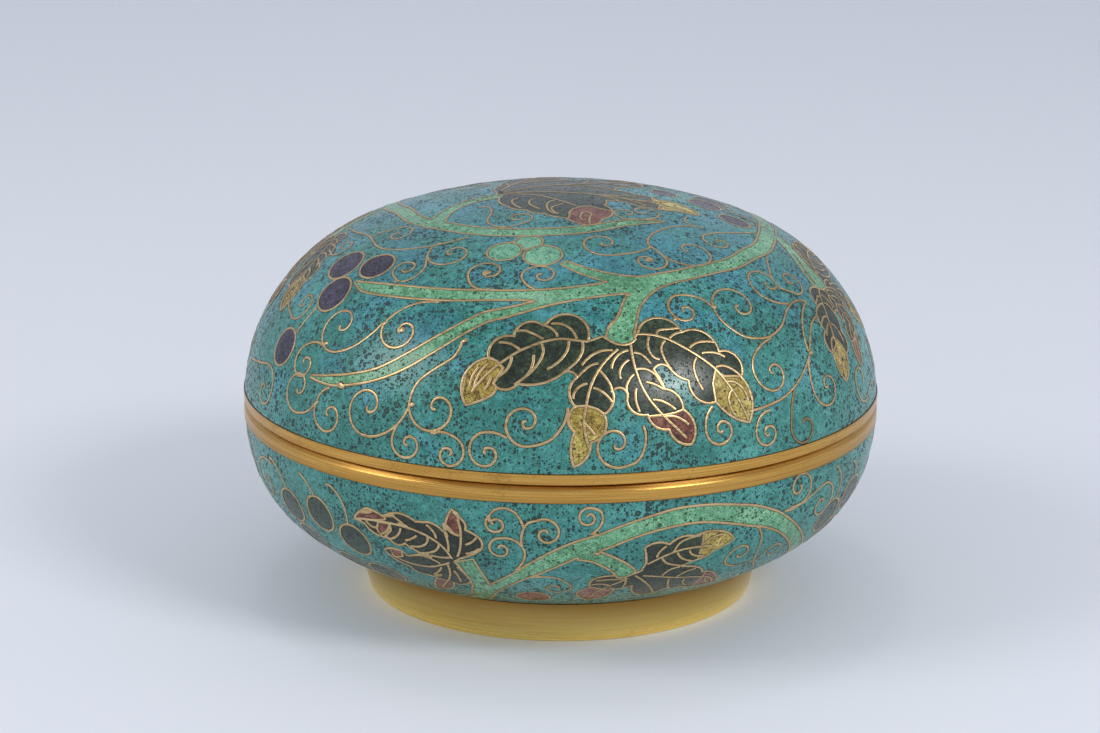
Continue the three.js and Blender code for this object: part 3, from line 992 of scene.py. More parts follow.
BOWL_BRANCH: tuple[Mark, ...] = (
    BOWL_LEAF,
    LOW_LEAF,
    Stem(
        ((-17, 12.8), (-16.3, 15), (-15.5, 18), (-15.5, 21), (-16.5, 24), (-18, 28)),
        (3.6, 3.4, 3.2, 3.2, 3, 3),
    ),
    Stem(
        (
            (-19, 31), (-16.5, 27), (-14.2, 23), (-11.5, 19.9), (-8, 16.6), (-4.5, 13.8), (-1, 11.3),
            (3, 9), (7, 7.6), (11, 5.9), (15, 4.6), (20, 3.6), (25, 3.55), (30, 4.4), (35, 5.7), (40, 7.6),
            (44, 10), (48, 13.1), (52, 16.8), (56, 21), (60, 26), (68, 30.5), (82, 33.4), (100, 34.4),
            (125, 34.2), (145, 33.2), (161, 31),
        ),
        (
            3, 3, 2.8, 2.6, 2.4, 3.2, 3.5, 3.4, 3.3, 3.2, 3.1, 3.4, 3.3, 3.6, 4, 3.5, 3, 2.9, 3, 3, 3, 3, 3,
            3, 3, 3, 3,
        ),
    ),
    Stem(
        ((3.5, 9.8), (6.5, 10.8), (8.8, 12.2), (11, 14), (12.3, 15.7)),
        (3, 2.6, 2.8, 3.2, 3.6),
        round_end=0.4,
    ),
    Grape((-40, 12.9), 3.6, Glass.OLIVE),
    Grape((-47.6, 9), 3.55, Glass.OLIVE),
    Grape((-57, 10), 3.5, Glass.OLIVE),
    Grape((-38.3, 23), 3.7, Glass.OLIVE),
    Grape((-55.5, 17.5), 3.6, Glass.OLIVE),
    Grape((-47, 22.5), 3.6, Glass.OLIVE),
    Grape((-5.5, 25.4), 2.9, Glass.WINE),
    Wire(((-40.3, 9.3), (-40.1, 7), (-40.5, 5), (-41.7, 3.2), (-43.2, 2.2), (-44.2, 2.2))),
    Wire(((-48, 5.5), (-49, 4), (-50.5, 2.5), (-51.7, 1.8))),
    Wire(((-57.3, 6.6), (-58.5, 4.5), (-60, 3), (-62.5, 1.9))),
    Scroll(((-62, 3.2), (-66, 3), (-69.6, 4.8)), (-66.6, 7.6), 1.3),
    Scroll(((-7.6, 14), (-6.2, 11.5), (-6, 9.5), (-7, 7.8), (-8.5, 7), (-10, 7)), (-10, 9.3), 1.2),
    Scroll(((-6.4, 8.4), (-6.5, 7), (-6, 4.8), (-5.2, 3.7), (-3.8, 3.2)), (-2.5, 5.8), -1.35),
    Scroll(
        ((-6, 4.8), (-6.8, 2.7), (-7.8, 1.6), (-9.2, 1.1), (-10.8, 1.5), (-11.9, 2.8)),
        (-10.7, 4.2),
        1.2,
        loop=0.9,
    ),
    Scroll(((5.2, 5.9), (6.8, 4.3), (7.2, 2.9), (6.8, 1.5), (5.6, 0.9)), (4.9, 2.7), 1.2),
    Scroll(((-5, 16.4), (-4, 16.1), (-2.2, 16), (-0.2, 16.5), (1.2, 17.8)), (-0.8, 20), -1.3),
    Scroll(((42.7, 6.5), (45.5, 6.6), (48, 5.3)), (45.6, 2.7), 1.4),
    Scroll(((47.5, 6.2), (50.5, 4.8), (54, 3.8)), (53.5, 7.7), -1.3),
    Wire(((36.5, 8.2), (37.8, 9.5), (38.7, 11.5), (39.2, 14), (39.5, 16), (41, 19), (43, 21))),
    Scroll(((40.3, 17.6), (36.5, 18.4), (33.8, 17.4)), (35, 14.4), -1.2),
    Scroll(((41, 18.5), (41.8, 16.3)), (44.3, 16.6), -1.0),
    Blob((43.2, 6.5), (47.6, 6), 1.7),
    Blob((-37.2, 5.8), (-33.8, 5.2), 1.9),
    Blob((-31.4, 5.4), (-29.2, 5)),
    Blob((-28.8, 6.4), (-26.8, 6.9), 1.8),
    Blob((-25.8, 12.3), (-23.2, 13.1), 1.7),
    Blob((-19.8, 6.6), (-19.5, 7.9), 1.7),
    Blob((-18.1, 2.2), (-16.8, 3.8), 2.0),
    Blob((-20, 5), (-19.5, 6.5), 1.8),
    Blob((-24.7, 18.9), (-22.6, 18.2), 1.8),
    Blob((-15.6, 11.3), (-13.8, 9.6), 1.8),
    Blob((-38, 7.5), (-36.6, 7.6), 1.7),
    Blob((-11.9, 2.8), (-11.7, 4)),
    Blob((-7.8, 14)),
    Blob((5.5, 5.7)),
    Blob((-24.5, 12.3)),
    Blob((-14, 20)),
    Blob((6, 9.8)),
    Blob((37, 8.3)),
    Blob((-4.2, 15.7)),
    Blob((22.5, 14.6)),
)

BOWL_SIDES: tuple[Mark, ...] = (
    Grape((58.5, 12), 3.6, Glass.OLIVE),
    Grape((66.5, 9.5), 3.6, Glass.OLIVE),
    Grape((63, 17.5), 3.6, Glass.OLIVE),
    Wire(((56.8, 1.3), (58.6, 3), (59.6, 5.5), (59.4, 8.4))),
    Wire(((66.6, 5.9), (66, 4), (64, 2.4))),
    LeafCopy(BOWL_LEAF, Pose((88, 18), -60, 1.0)),
    Scroll(((96, 24), (99, 21), (99.5, 17)), (95.3, 17.6), 1.3),
    Scroll(((76, 22), (72, 24.5), (71, 28)), (75, 28.4), 1.3),
    Scroll(((100, 12), (103.5, 9.5), (105, 6)), (100.6, 5.4), 1.3),
    Scroll(((104, 24), (108, 25.5), (111, 23)), (108, 20.4), 1.3),
)


# Fields of enamel

RIM_PARTS = 160


def ground_points(chart: Chart, gap: float) -> np.ndarray:
    """Points spread evenly over a wall.

    Args:
        chart: the wall's drawing.
        gap: millimetres between neighbours.

    Returns:
        The points, in the drawing.
    """
    wall = chart.wall
    rings = [np.zeros(1, complex)]
    for i, along in enumerate(np.arange(gap * 0.7, wall.length - gap * 0.4, gap)):
        radius = float(np.interp(along, wall.along, wall.radius))
        reach = float(np.interp(along, wall.along, wall.reach))
        count = max(6, round(2 * math.pi * radius / gap))
        rings.append(reach * np.exp(2j * math.pi * (np.arange(count) + 0.5 * (i % 2)) / count))
    return np.concatenate(rings)


def clear_of(points: np.ndarray, lines: list[np.ndarray], reach: np.ndarray) -> np.ndarray:
    """The points that lie further from all lines than a reach of their own.

    Args:
        points: the points to sift.
        lines: densely sampled lines.
        reach: for each point, how far it has to be from them.

    Returns:
        The points that are left.
    """
    marks = np.concatenate(lines)
    tree = KDTree(len(marks))
    for i, mark in enumerate(marks):
        tree.insert((mark.real, mark.imag, 0), i)
    tree.balance()
    gaps = np.array([tree.find((p.real, p.imag, 0))[2] for p in points])
    return points[gaps > reach]


def chained(edges: list[list[int]]) -> list[list[int]]:
    """Joins edges into runs.

    Args:
        edges: pairs of point numbers.

    Returns:
        Runs of point numbers, which stop where three or more edges meet. A loop ends with its first point.
    """
    links: dict[int, list[int]] = {}
    for a, b in edges:
        links.setdefault(a, []).append(b)
        links.setdefault(b, []).append(a)
    used: set[tuple[int, int]] = set()
    runs = []
    forks = sorted(point for point, near in links.items() if len(near) != 2)
    for start in forks + sorted(links):
        for ahead in links[start]:
            if (min(start, ahead), max(start, ahead)) in used:
                continue
            run = [start]
            here = start
            while (min(here, ahead), max(here, ahead)) not in used:
                used.add((min(here, ahead), max(here, ahead)))
                run.append(ahead)
                if len(links[ahead]) != 2:
                    break
                here, ahead = ahead, sum(links[ahead]) - here
            runs.append(run)
    return runs


@dataclass
class Fields:
    """A drawing cut into triangles, each of one enamel."""

    points: np.ndarray
    triangles: np.ndarray
    glasses: np.ndarray
    borders: list[np.ndarray]


def cut_fields(sheet: Sheet, gap: float) -> Fields:
    """Cuts a sheet into the fields that its cells make where they overlap, the last on top.

    Args:
        sheet: the sheet.
        gap: millimetres between points of the open ground.

    Returns:
        The fields.
    """
    chart = sheet.chart
    rim = chart.wall.reach[0] * np.exp(2j * math.pi * np.arange(RIM_PARTS) / RIM_PARTS)
    outlines = [thin_out(np.append(cell.outline, cell.outline[0]))[:-1] for cell in sheet.cells]
    ground = ground_points(chart, gap)
    ground = clear_of(ground, [cell.outline for cell in sheet.cells], 0.45 * chart.grain(ground))
    loops = [rim, *outlines]
    corners = np.concatenate([*loops, ground])
    edges = []
    first = 0
    for loop in loops:
        edges += [(first + i, first + (i + 1) % len(loop)) for i in range(len(loop))]
        first += len(loop)
    flat = [Vector((p.real, p.imag)) for p in corners]
    made = delaunay_2d_cdt(flat, edges, [], 0, 1e-4, False)
    points = np.array([complex(*p) for p in made[0]])
    triangles = np.array([face for face in made[2] if len(face) == 3])
    middles = points[triangles].mean(1)
    kept = inside(rim, middles)
    triangles, middles = triangles[kept], middles[kept]
    families = {"ground": 0}
    owners = np.zeros(len(triangles), int)
    glasses = np.zeros(len(triangles), int)
    kinds = list(Glass)
    for cell, outline in zip(sheet.cells, outlines):
        within = inside(outline, middles)
        if cell.host is not None:
            within &= owners == families[cell.host]
        owners[within] = families.setdefault(cell.family, len(families))
        glasses[within] = kinds.index(cell.glass)
    sides = np.sort(triangles[:, [[0, 1], [1, 2], [2, 0]]].reshape(-1, 2), 1)
    owner_of_side = np.repeat(owners, 3)
    order = np.lexsort((sides[:, 1], sides[:, 0]))
    sides, owner_of_side = sides[order], owner_of_side[order]
    shared = (sides[1:] == sides[:-1]).all(1) & (owner_of_side[1:] != owner_of_side[:-1])
    borders = [points[run] for run in chained(sides[1:][shared].tolist())]
    used, numbers = np.unique(triangles, return_inverse=True)
    return Fields(points[used], numbers.reshape(-1, 3), glasses, borders)


# Building meshes


def new_object(name: str, mesh: bpy.types.Mesh) -> bpy.types.Object:
    """Puts a mesh in the scene as an object at the origin."""
    made = bpy.data.objects.new(name, mesh)
    bpy.context.scene.collection.objects.link(made)
    return made


def add_attribute(mesh: bpy.types.Mesh, name: str, values: np.ndarray) -> None:
    """Stores a number or a vector for each point of a mesh.

    Args:
        mesh: the mesh.
        name: what materials and node trees know the values by.
        values: a row for each point.
    """
    vector = values.ndim == 2
    attribute = mesh.attributes.new(name, "FLOAT_VECTOR" if vector else "FLOAT", "POINT")
    attribute.data.foreach_set("vector" if vector else "value", values.astype(np.float32).ravel())


class Nodes:
    """A node tree being built, where an input takes a value or another node's output."""

    def __init__(self, tree: bpy.types.NodeTree) -> None:
        self.tree = tree

    def add(self, kind: str, settings: dict[str, object] | None = None,
            inputs: dict[int | str, object] | None = None) -> bpy.types.Node:
        """Adds a node.

        Args:
            kind: the node's type.
            settings: its properties.
            inputs: its sockets, by number or name, with values, outputs, or nodes that stand for their
                first output.

        Returns:
            The node.
        """
        node = self.tree.nodes.new(kind)
        for key, value in (settings or {}).items():
            setattr(node, key, value)
        for key, value in (inputs or {}).items():
            if isinstance(value, bpy.types.Node):
                value = value.outputs[0]
            if isinstance(value, bpy.types.NodeSocket):
                self.tree.links.new(value, node.inputs[key])
            else:
                node.inputs[key].default_value = value
        return node

    def math(self, operation: str, *terms: object) -> bpy.types.Node:
        """A sum, product or other operation on numbers."""
        return self.add("ShaderNodeMath", {"operation": operation}, dict(enumerate(terms)))

    def vector(self, operation: str, *terms: object) -> bpy.types.Node:
        """An operation on vectors."""
        return self.add("ShaderNodeVectorMath", {"operation": operation}, dict(enumerate(terms)))

    def noise(self, place: object, scale: float, detail: float = 2.0, w: object = 0.0,
              roughness: float = 0.5) -> bpy.types.NodeSocket:
        """Soft noise from 0 to 1 at a place."""
        node = self.add("ShaderNodeTexNoise", {"noise_dimensions": "4D"}, {
            "Vector": place, "W": w, "Scale": scale, "Detail": detail, "Roughness": roughness,
        })
        return node.outputs[0]

    def ramp(self, value: object, low: float, high: float, start: float = 0.0,
             end: float = 1.0) -> bpy.types.Node:
        """Maps a number that goes from low to high smoothly onto one from start to end."""
        return self.add("ShaderNodeMapRange", {"interpolation_type": "SMOOTHSTEP"},
                        {0: value, 1: low, 2: high, 3: start, 4: end})

    def mix(self, share: object, first: object, second: object) -> bpy.types.NodeSocket:
        """Goes from one colour to another."""
        node = self.add("ShaderNodeMix", {"data_type": "RGBA"}, {0: share, 6: first, 7: second})
        return node.outputs[2]


class Growth(Nodes):
    """A Geometry Nodes tree with named inputs for its sizes.

    Args:
        name: the tree's name.
    """

    def __init__(self, name: str) -> None:
        super().__init__(bpy.data.node_groups.new(name, "GeometryNodeTree"))
        face = self.tree.interface
        face.new_socket("Geometry", in_out="INPUT", socket_type="NodeSocketGeometry")
        face.new_socket("Geometry", in_out="OUTPUT", socket_type="NodeSocketGeometry")
        self.start = self.tree.nodes.new("NodeGroupInput")
        self.sizes: dict[str, tuple[str, float]] = {}

    @property
    def geometry(self) -> bpy.types.NodeSocket:
        """What the tree is given."""
        return self.start.outputs[0]

    def size(self, name: str, value: float) -> bpy.types.NodeSocket:
        """Adds a named input, and returns its output inside the tree."""
        whole = isinstance(value, int)
        kind = "NodeSocketInt" if whole else "NodeSocketFloat"
        socket = self.tree.interface.new_socket(name, in_out="INPUT", socket_type=kind)
        self.sizes[name] = (socket.identifier, value)
        return self.start.outputs[name]

    def named(self, name: str, kind: str = "FLOAT") -> bpy.types.NodeSocket:
        """An attribute of the geometry."""
        return self.add("GeometryNodeInputNamedAttribute", {"data_type": kind}, {0: name}).outputs[0]

    def grow(self, seed: bpy.types.Object, last: object, finish: bpy.types.Material) -> bpy.types.Object:
        """Ends the tree, runs it on an object and makes the result the object's plain mesh.

        Args:
            seed: the object whose mesh the tree starts from.
            last: the node with the finished geometry.
            finish: the material that it gets.

        Returns:
            The object.
        """
        smooth = self.add("GeometryNodeSetShadeSmooth", inputs={0: last})
        real = self.add("GeometryNodeRealizeInstances", inputs={0: smooth})
        dressed = self.add("GeometryNodeSetMaterial", inputs={0: real, "Material": finish})
        self.add("NodeGroupOutput", inputs={0: dressed})
        modifier = seed.modifiers.new("growth", "NODES")
        modifier.node_group = self.tree
        for identifier, value in self.sizes.values():
            modifier[identifier] = value
        graph = bpy.context.evaluated_depsgraph_get()
        grown = bpy.data.meshes.new_from_object(
            seed.evaluated_get(graph), preserve_all_data_layers=True, depsgraph=graph)
        seed.modifiers.remove(modifier)
        plain = seed.data
        seed.data = grown
        bpy.data.meshes.remove(plain)
        grown.name = seed.name
        work = bmesh.new()
        work.from_mesh(grown)
        if work.calc_volume(signed=True) < 0:
            bmesh.ops.reverse_faces(work, faces=work.faces)
            work.to_mesh(grown)
        work.free()
        return seed


# Finishes

Colour = tuple[int, int, int]


def tint(colour: Colour) -> tuple[float, float, float, float]:
    """A shader's colour for a colour given in 255ths, as on a paint chart."""
    shares = [c / 255 for c in colour]
    return (*[s / 12.92 if s <= 0.04045 else ((s + 0.055) / 1.055) ** 2.4 for s in shares], 1.0)


def new_material(name: str) -> tuple[bpy.types.Material, Nodes, bpy.types.Node]:
    """A material with an empty tree but for its shader.

    Args:
        name: the material's name.

    Returns:
        The material, its tree and its shader node.
    """
    material = bpy.data.materials.new(name)
    material.use_nodes = True
    nodes = Nodes(material.node_tree)
    return material, nodes, material.node_tree.nodes["Principled BSDF"]


def place_in_mm(nodes: Nodes) -> bpy.types.Node:
    """The place on the object, in millimetres."""
    place = nodes.add("ShaderNodeTexCoord").outputs["Object"]
    return nodes.add("ShaderNodeVectorMath", {"operation": "SCALE"}, {0: place, "Scale": 1 / MM})


def from_axis(nodes: Nodes, place: object) -> tuple[bpy.types.Node, bpy.types.NodeSocket]:
    """How far a place is from the box's axis, and how high, in millimetres."""
    x, y, z = nodes.add("ShaderNodeSeparateXYZ", inputs={0: place}).outputs
    squares = nodes.math("ADD", nodes.math("MULTIPLY", x, x), nodes.math("MULTIPLY", y, y))
    return nodes.math("SQRT", squares), z


# Each layer of pits has the millimetres between them, the largest one's radius and a seed
PIT_LAYERS = ((0.42, 0.22, 11.0), (0.85, 0.37, 29.0), (1.9, 0.52, 53.0))

# Painted shade, with some grime, on the bowl's underside beside the foot, in the nook where the two meet
NOOK_SHADE_AND_GRIME: Colour = (40, 48, 38)
NOOK_SHADE_RADII = (38.4, 42.5)
NOOK_SHADE_HEIGHTS = (9.0, 11.0)


@dataclass(frozen=True)
class Enamel:
    """An opaque enamel, ground and polished, with the open pits that its bubbles left."""

    glass: Glass
    deep: Colour
    body: Colour
    light: Colour
    pit: Colour = (28, 46, 38)
    pitting: float = 1.0
    gloss: float = 0.26
    blues: tuple[Colour, ...] = ()

    def toned(self, nodes: Nodes, tone: object, colours: tuple[Colour, ...]) -> bpy.types.NodeSocket:
        """A colour that goes from deep over plain to light with the tone."""
        deep, plain, light = (tint(colour) for colour in colours)
        low = nodes.mix(nodes.ramp(tone, 0.42, 0.5), deep, plain)
        return nodes.mix(nodes.ramp(tone, 0.5, 0.585), low, light)

    def pits(self, nodes: Nodes, place: object, spread: object, gap: float, largest: float,
             seed: float) -> bpy.types.Node:
        """Round pits of all sizes up to one.

        Args:
            nodes: the material's tree.
            place: the place in millimetres.
            spread: how far the pits are developed, here and there.
            gap: millimetres between pits.
            largest: the radius of the largest pit, in millimetres.
            seed: what sets this layer apart from another.

        Returns:
            A number that is 1 in a pit.
        """
        cells = nodes.add("ShaderNodeTexVoronoi", {"voronoi_dimensions": "3D"}, {
            "Vector": nodes.vector("ADD", place, (seed, -seed, seed)), "Scale": 1 / gap,
        })
        chance = nodes.add("ShaderNodeSeparateColor", inputs={0: cells.outputs["Color"]}).outputs[0]
        size = nodes.math("MULTIPLY", nodes.math("POWER", chance, 1.3), largest / gap)
        size = nodes.math("MULTIPLY", size, spread)
        depth = nodes.math("SUBTRACT", size, cells.outputs["Distance"])
        hollow = nodes.ramp(depth, 0.0, 0.05 / gap)
        return nodes.math("SUBTRACT", hollow, nodes.ramp(depth, 0.16 / gap, 0.26 / gap, 0.0, 0.2))

    def material(self) -> bpy.types.Material:
        """The enamel's material."""
        material, nodes, shader = new_material(f"{self.glass.value} enamel".replace(" ", "_"))
        place = place_in_mm(nodes)
        patches = nodes.noise(place, 0.09, 3, w=3.0)
        mottle = nodes.noise(place, 0.7, 4, w=7.0, roughness=0.65)
        grain = nodes.noise(place, 3.4, 2, w=1.0, roughness=0.6)
        tone = nodes.math("ADD", nodes.math("MULTIPLY", patches, 0.25), nodes.math("MULTIPLY", mottle, 0.35))
        tone = nodes.math("ADD", tone, nodes.math("MULTIPLY", grain, 0.4))
        colour = self.toned(nodes, tone, (self.deep, self.body, self.light))
        across, height = from_axis(nodes, place)
        if self.blues:
            rise = nodes.math("MULTIPLY_ADD", height, 0.006, -0.34)
            hue = nodes.math("ADD", nodes.noise(place, 0.13, 3, w=40.0), rise)
            blue = self.toned(nodes, tone, self.blues)
            colour = nodes.mix(nodes.ramp(hue, 0.44, 0.68, 0.0, 0.8), colour, blue)
        weather = nodes.noise(place, 0.11, 2, w=21.0)
        spread = nodes.ramp(weather, 0.3, 0.66, 0.8 * self.pitting, 1.35 * self.pitting)
        fine, middling, wide = (self.pits(nodes, place, spread, *layer) for layer in PIT_LAYERS)
        pits = nodes.math("MAXIMUM", nodes.math("MAXIMUM", fine, middling), wide)
        colour = nodes.mix(nodes.math("MULTIPLY", pits, 0.96), colour, tint(self.pit))
        # Painted shade: the bowl's underside is darkened next to the foot ring, where shade falls under the
        # overhang, and this also stands for grime there
        near = nodes.ramp(across, *NOOK_SHADE_RADII, 0.9, 0.0)
        nook_shade = nodes.math("MULTIPLY", near, nodes.ramp(height, *NOOK_SHADE_HEIGHTS, 1.0, 0.0))
        nook_shade = nodes.math("MULTIPLY", nook_shade, nodes.ramp(mottle, 0.3, 0.6, 0.6, 1.0))
        colour = nodes.mix(nook_shade, colour, tint(NOOK_SHADE_AND_GRIME))
        rough = nodes.math("ADD", nodes.ramp(mottle, 0.35, 0.65, self.gloss - 0.05, self.gloss + 0.08),
                           nodes.math("MULTIPLY", pits, 0.25))
        relief = nodes.math("SUBTRACT", nodes.math("MULTIPLY", grain, 0.1), pits)
        bump = nodes.add("ShaderNodeBump", inputs={"Strength": 0.6, "Distance": 0.00006, "Height": relief})
        shader.inputs["IOR"].default_value = 1.52
        nodes.tree.links.new(colour, shader.inputs["Base Color"])
        nodes.tree.links.new(rough.outputs[0], shader.inputs["Roughness"])
        nodes.tree.links.new(bump.outputs[0], shader.inputs["Normal"])
        return material


ENAMELS = (
    Enamel(Glass.GROUND, (34, 104, 94), (52, 128, 120), (80, 156, 148), pit=(8, 36, 32),
           blues=((34, 100, 110), (54, 128, 142), (80, 154, 172))),
    Enamel(Glass.VINE, (64, 120, 84), (98, 158, 118), (138, 194, 152), pit=(30, 62, 40), pitting=0.8),
    Enamel(Glass.LEAF, (12, 22, 14), (28, 46, 30), (64, 82, 56), pit=(4, 8, 6), pitting=0.8),
    Enamel(Glass.STRAW, (98, 72, 22), (160, 138, 54), (206, 190, 112), pit=(52, 38, 18), pitting=0.8),
    Enamel(Glass.WINE, (78, 34, 26), (118, 62, 46), (154, 104, 86), pit=(30, 14, 14), pitting=0.8),
    Enamel(Glass.PLUM, (24, 18, 34), (44, 35, 58), (82, 74, 98), pit=(10, 8, 16), pitting=0.9),
    Enamel(Glass.UNRIPE, (60, 112, 86), (92, 156, 124), (128, 184, 148), pit=(28, 54, 42), pitting=0.7),
    Enamel(Glass.OLIVE, (16, 32, 24), (34, 58, 44), (66, 88, 68), pit=(8, 16, 12), pitting=0.8),
)


@dataclass(frozen=True)
class Gilding:
    """Gilt brass, turned bright and tarnished with age."""

    name: str
    bright: Colour
    worn: Colour
    tarnish: Colour
    spread: float = 0.42
    turned: bool = True
    gloss: float = 0.3

    def material(self) -> bpy.types.Material:
        """The gilding's material."""
        material, nodes, shader = new_material(self.name)
        place = place_in_mm(nodes)
        across, _ = from_axis(nodes, place)
        stretched = nodes.vector("MULTIPLY", place, (0.05, 0.05, 4.0))
        strokes = nodes.noise(stretched, 1.0, 3, w=nodes.math("MULTIPLY", across, 4.0))
        clouds = nodes.noise(place, 0.16, 4, w=5.0, roughness=0.6)
        specks = nodes.noise(place, 1.7, 4, w=9.0, roughness=0.7)
        # The attribute marks grime at the rings' joints and, on the wires, painted shade along their low
        # sides
        edge = nodes.add("ShaderNodeAttribute", {"attribute_name": "grime_and_shade"}).outputs["Fac"]
        if not self.turned:
            edge = nodes.ramp(edge, 0.05, 0.6)
        dull = nodes.math("ADD", nodes.math("MULTIPLY", clouds, 0.5), nodes.math("MULTIPLY", specks, 0.5))
        dull = nodes.ramp(nodes.math("ADD", dull, self.spread - 0.5), 0.44, 0.7)
        dark = nodes.math("MAXIMUM", nodes.math("MULTIPLY", dull, 0.75), edge)
        tone = nodes.mix(nodes.ramp(strokes, 0.3, 0.7), tint(self.worn), tint(self.bright))
        colour = nodes.mix(dark, tone, tint(self.tarnish))
        rough = nodes.math("ADD", nodes.ramp(strokes, 0.3, 0.7, self.gloss - 0.06, self.gloss + 0.08),
                           nodes.math("MULTIPLY", dark, 0.25))
        relief = nodes.math("ADD", strokes if self.turned else 0.0, nodes.math("MULTIPLY", specks, 0.5))
        bump = nodes.add("ShaderNodeBump", inputs={"Strength": 0.35, "Distance": 0.00004, "Height": relief})
        nodes.tree.links.new(colour, shader.inputs["Base Color"])
        nodes.tree.links.new(rough.outputs[0], shader.inputs["Roughness"])
        nodes.tree.links.new(bump.outputs[0], shader.inputs["Normal"])
        shader.inputs["Metallic"].default_value = 1.0
        if self.turned:
            shader.inputs["Anisotropic"].default_value = 0.6
            shader.inputs["Anisotropic Rotation"].default_value = 0.25
            round_axis = nodes.add("ShaderNodeTangent", {"direction_type": "RADIAL", "axis": "Z"})
            nodes.tree.links.new(round_axis.outputs[0], shader.inputs["Tangent"])
        return material


RING_GILDING = Gilding("ring_gilding", (214, 170, 92), (186, 138, 66), (96, 64, 32))
# Painted light: the foot is the same gilt metal as the rings, given a much brighter copy of their gilding to
# stand in for the light on it
FOOT_GILDING_PAINTED_LIGHTER = Gilding("foot_gilding_painted_light", (255, 232, 150), (250, 214, 122), (150, 108, 52), gloss=0.24)
WIRE_GILDING = Gilding("wire_gilding", (216, 192, 148), (180, 150, 104), (50, 34, 20),
                       spread=0.44, turned=False, gloss=0.36)


# The box


class Turned:
    """Makes rings that are turned on a lathe, by carrying a section round the box's axis."""

    SIDES = 192
    ROUNDING_STEPS = 4

    @classmethod
    def section(cls, corners: list[Bend]) -> np.ndarray:
        """A ring's section with its corners rounded.

        Args:
            corners: radius, height and rounding of each corner, in millimetres.

        Returns:
            The section, as complex numbers of radius and height.
        """
        spots = [complex(r, z) for r, z, _ in corners]
        out = []
        for i, (spot, (_, _, rounding)) in enumerate(zip(spots, corners)):
            before = spots[i - 1] - spot
            after = spots[(i + 1) % len(spots)] - spot
            start = spot + before / abs(before) * min(rounding, abs(before) * 0.45)
            end = spot + after / abs(after) * min(rounding, abs(after) * 0.45)
            share = np.linspace(0, 1, cls.ROUNDING_STEPS + 1)
            out.append(start + (start - spot) * 0.25)
            out.extend((1 - share) ** 2 * start + 2 * share * (1 - share) * spot + share**2 * end)
            out.append(end + (end - spot) * 0.25)
        return np.array(out)

    @classmethod
    def ring(cls, name: str, corners: list[Bend], grimy: list[float], finish: bpy.types.Material,
             unevenness: float = 0.04) -> bpy.types.Object:
        """A ring of one section.

        Args:
            name: the piece's name.
            corners: radius, height and rounding of the section's corners, in millimetres.
            grimy: heights at which dirt has gathered, in millimetres.
            finish: the ring's material.
            unevenness: how far the worn metal strays, in millimetres.

        Returns:
            The ring.
        """
        outline = cls.section(corners)
        radius = max(r for r, _, _ in corners)
        places = [((p.real - radius) * MM, -p.imag * MM, 0) for p in outline]
        mesh = bpy.data.meshes.new(name)
        mesh.from_pydata(places, [(i, (i + 1) % len(places)) for i in range(len(places))], [])
        grime_and_shade = np.zeros(len(outline))
        for height in grimy:
            grime_and_shade = np.maximum(grime_and_shade, np.clip(1.4 - np.abs(outline.imag - height) / 0.16, 0, 1))
        add_attribute(mesh, "grime_and_shade", grime_and_shade)
        tree = Growth(f"{name} turning")
        sides = tree.size("Sides", cls.SIDES)
        reach = tree.size("Radius", radius * MM)
        stray = tree.size("Unevenness", unevenness * MM)
        path = tree.add("GeometryNodeCurvePrimitiveCircle", inputs={"Resolution": sides, "Radius": reach})
        here = tree.add("GeometryNodeInputPosition")
        outwards = tree.vector("NORMALIZE", here)
        path = tree.add("GeometryNodeSetCurveNormal", {"mode": "FREE"}, {0: path, "Normal": outwards})
        profile = tree.add("GeometryNodeMeshToCurve", inputs={0: tree.geometry})
        swept = tree.add("GeometryNodeCurveToMesh", inputs={0: path, 1: profile})
        wander = tree.math("MULTIPLY", tree.math("SUBTRACT", tree.noise(here, 260.0, 2, w=2.0), 0.5), stray)
        normal = tree.add("GeometryNodeInputNormal")
        offset = tree.add("ShaderNodeVectorMath", {"operation": "SCALE"}, {0: normal, "Scale": wander})
        worn = tree.add("GeometryNodeSetPosition", inputs={0: swept, "Offset": offset})
        return tree.grow(new_object(name, mesh), worn, finish)


@dataclass
class Strand:
    """One wire laid on a wall: its places, the wall's normals there, its gauge and how dull it is."""

    places: np.ndarray
    normals: np.ndarray
    gauge: np.ndarray
    dull: float = 0.0


TARNISH = 0.3
BLOB_SWELL = np.array([0.3, 0.9, 1.0, 0.9, 0.3])


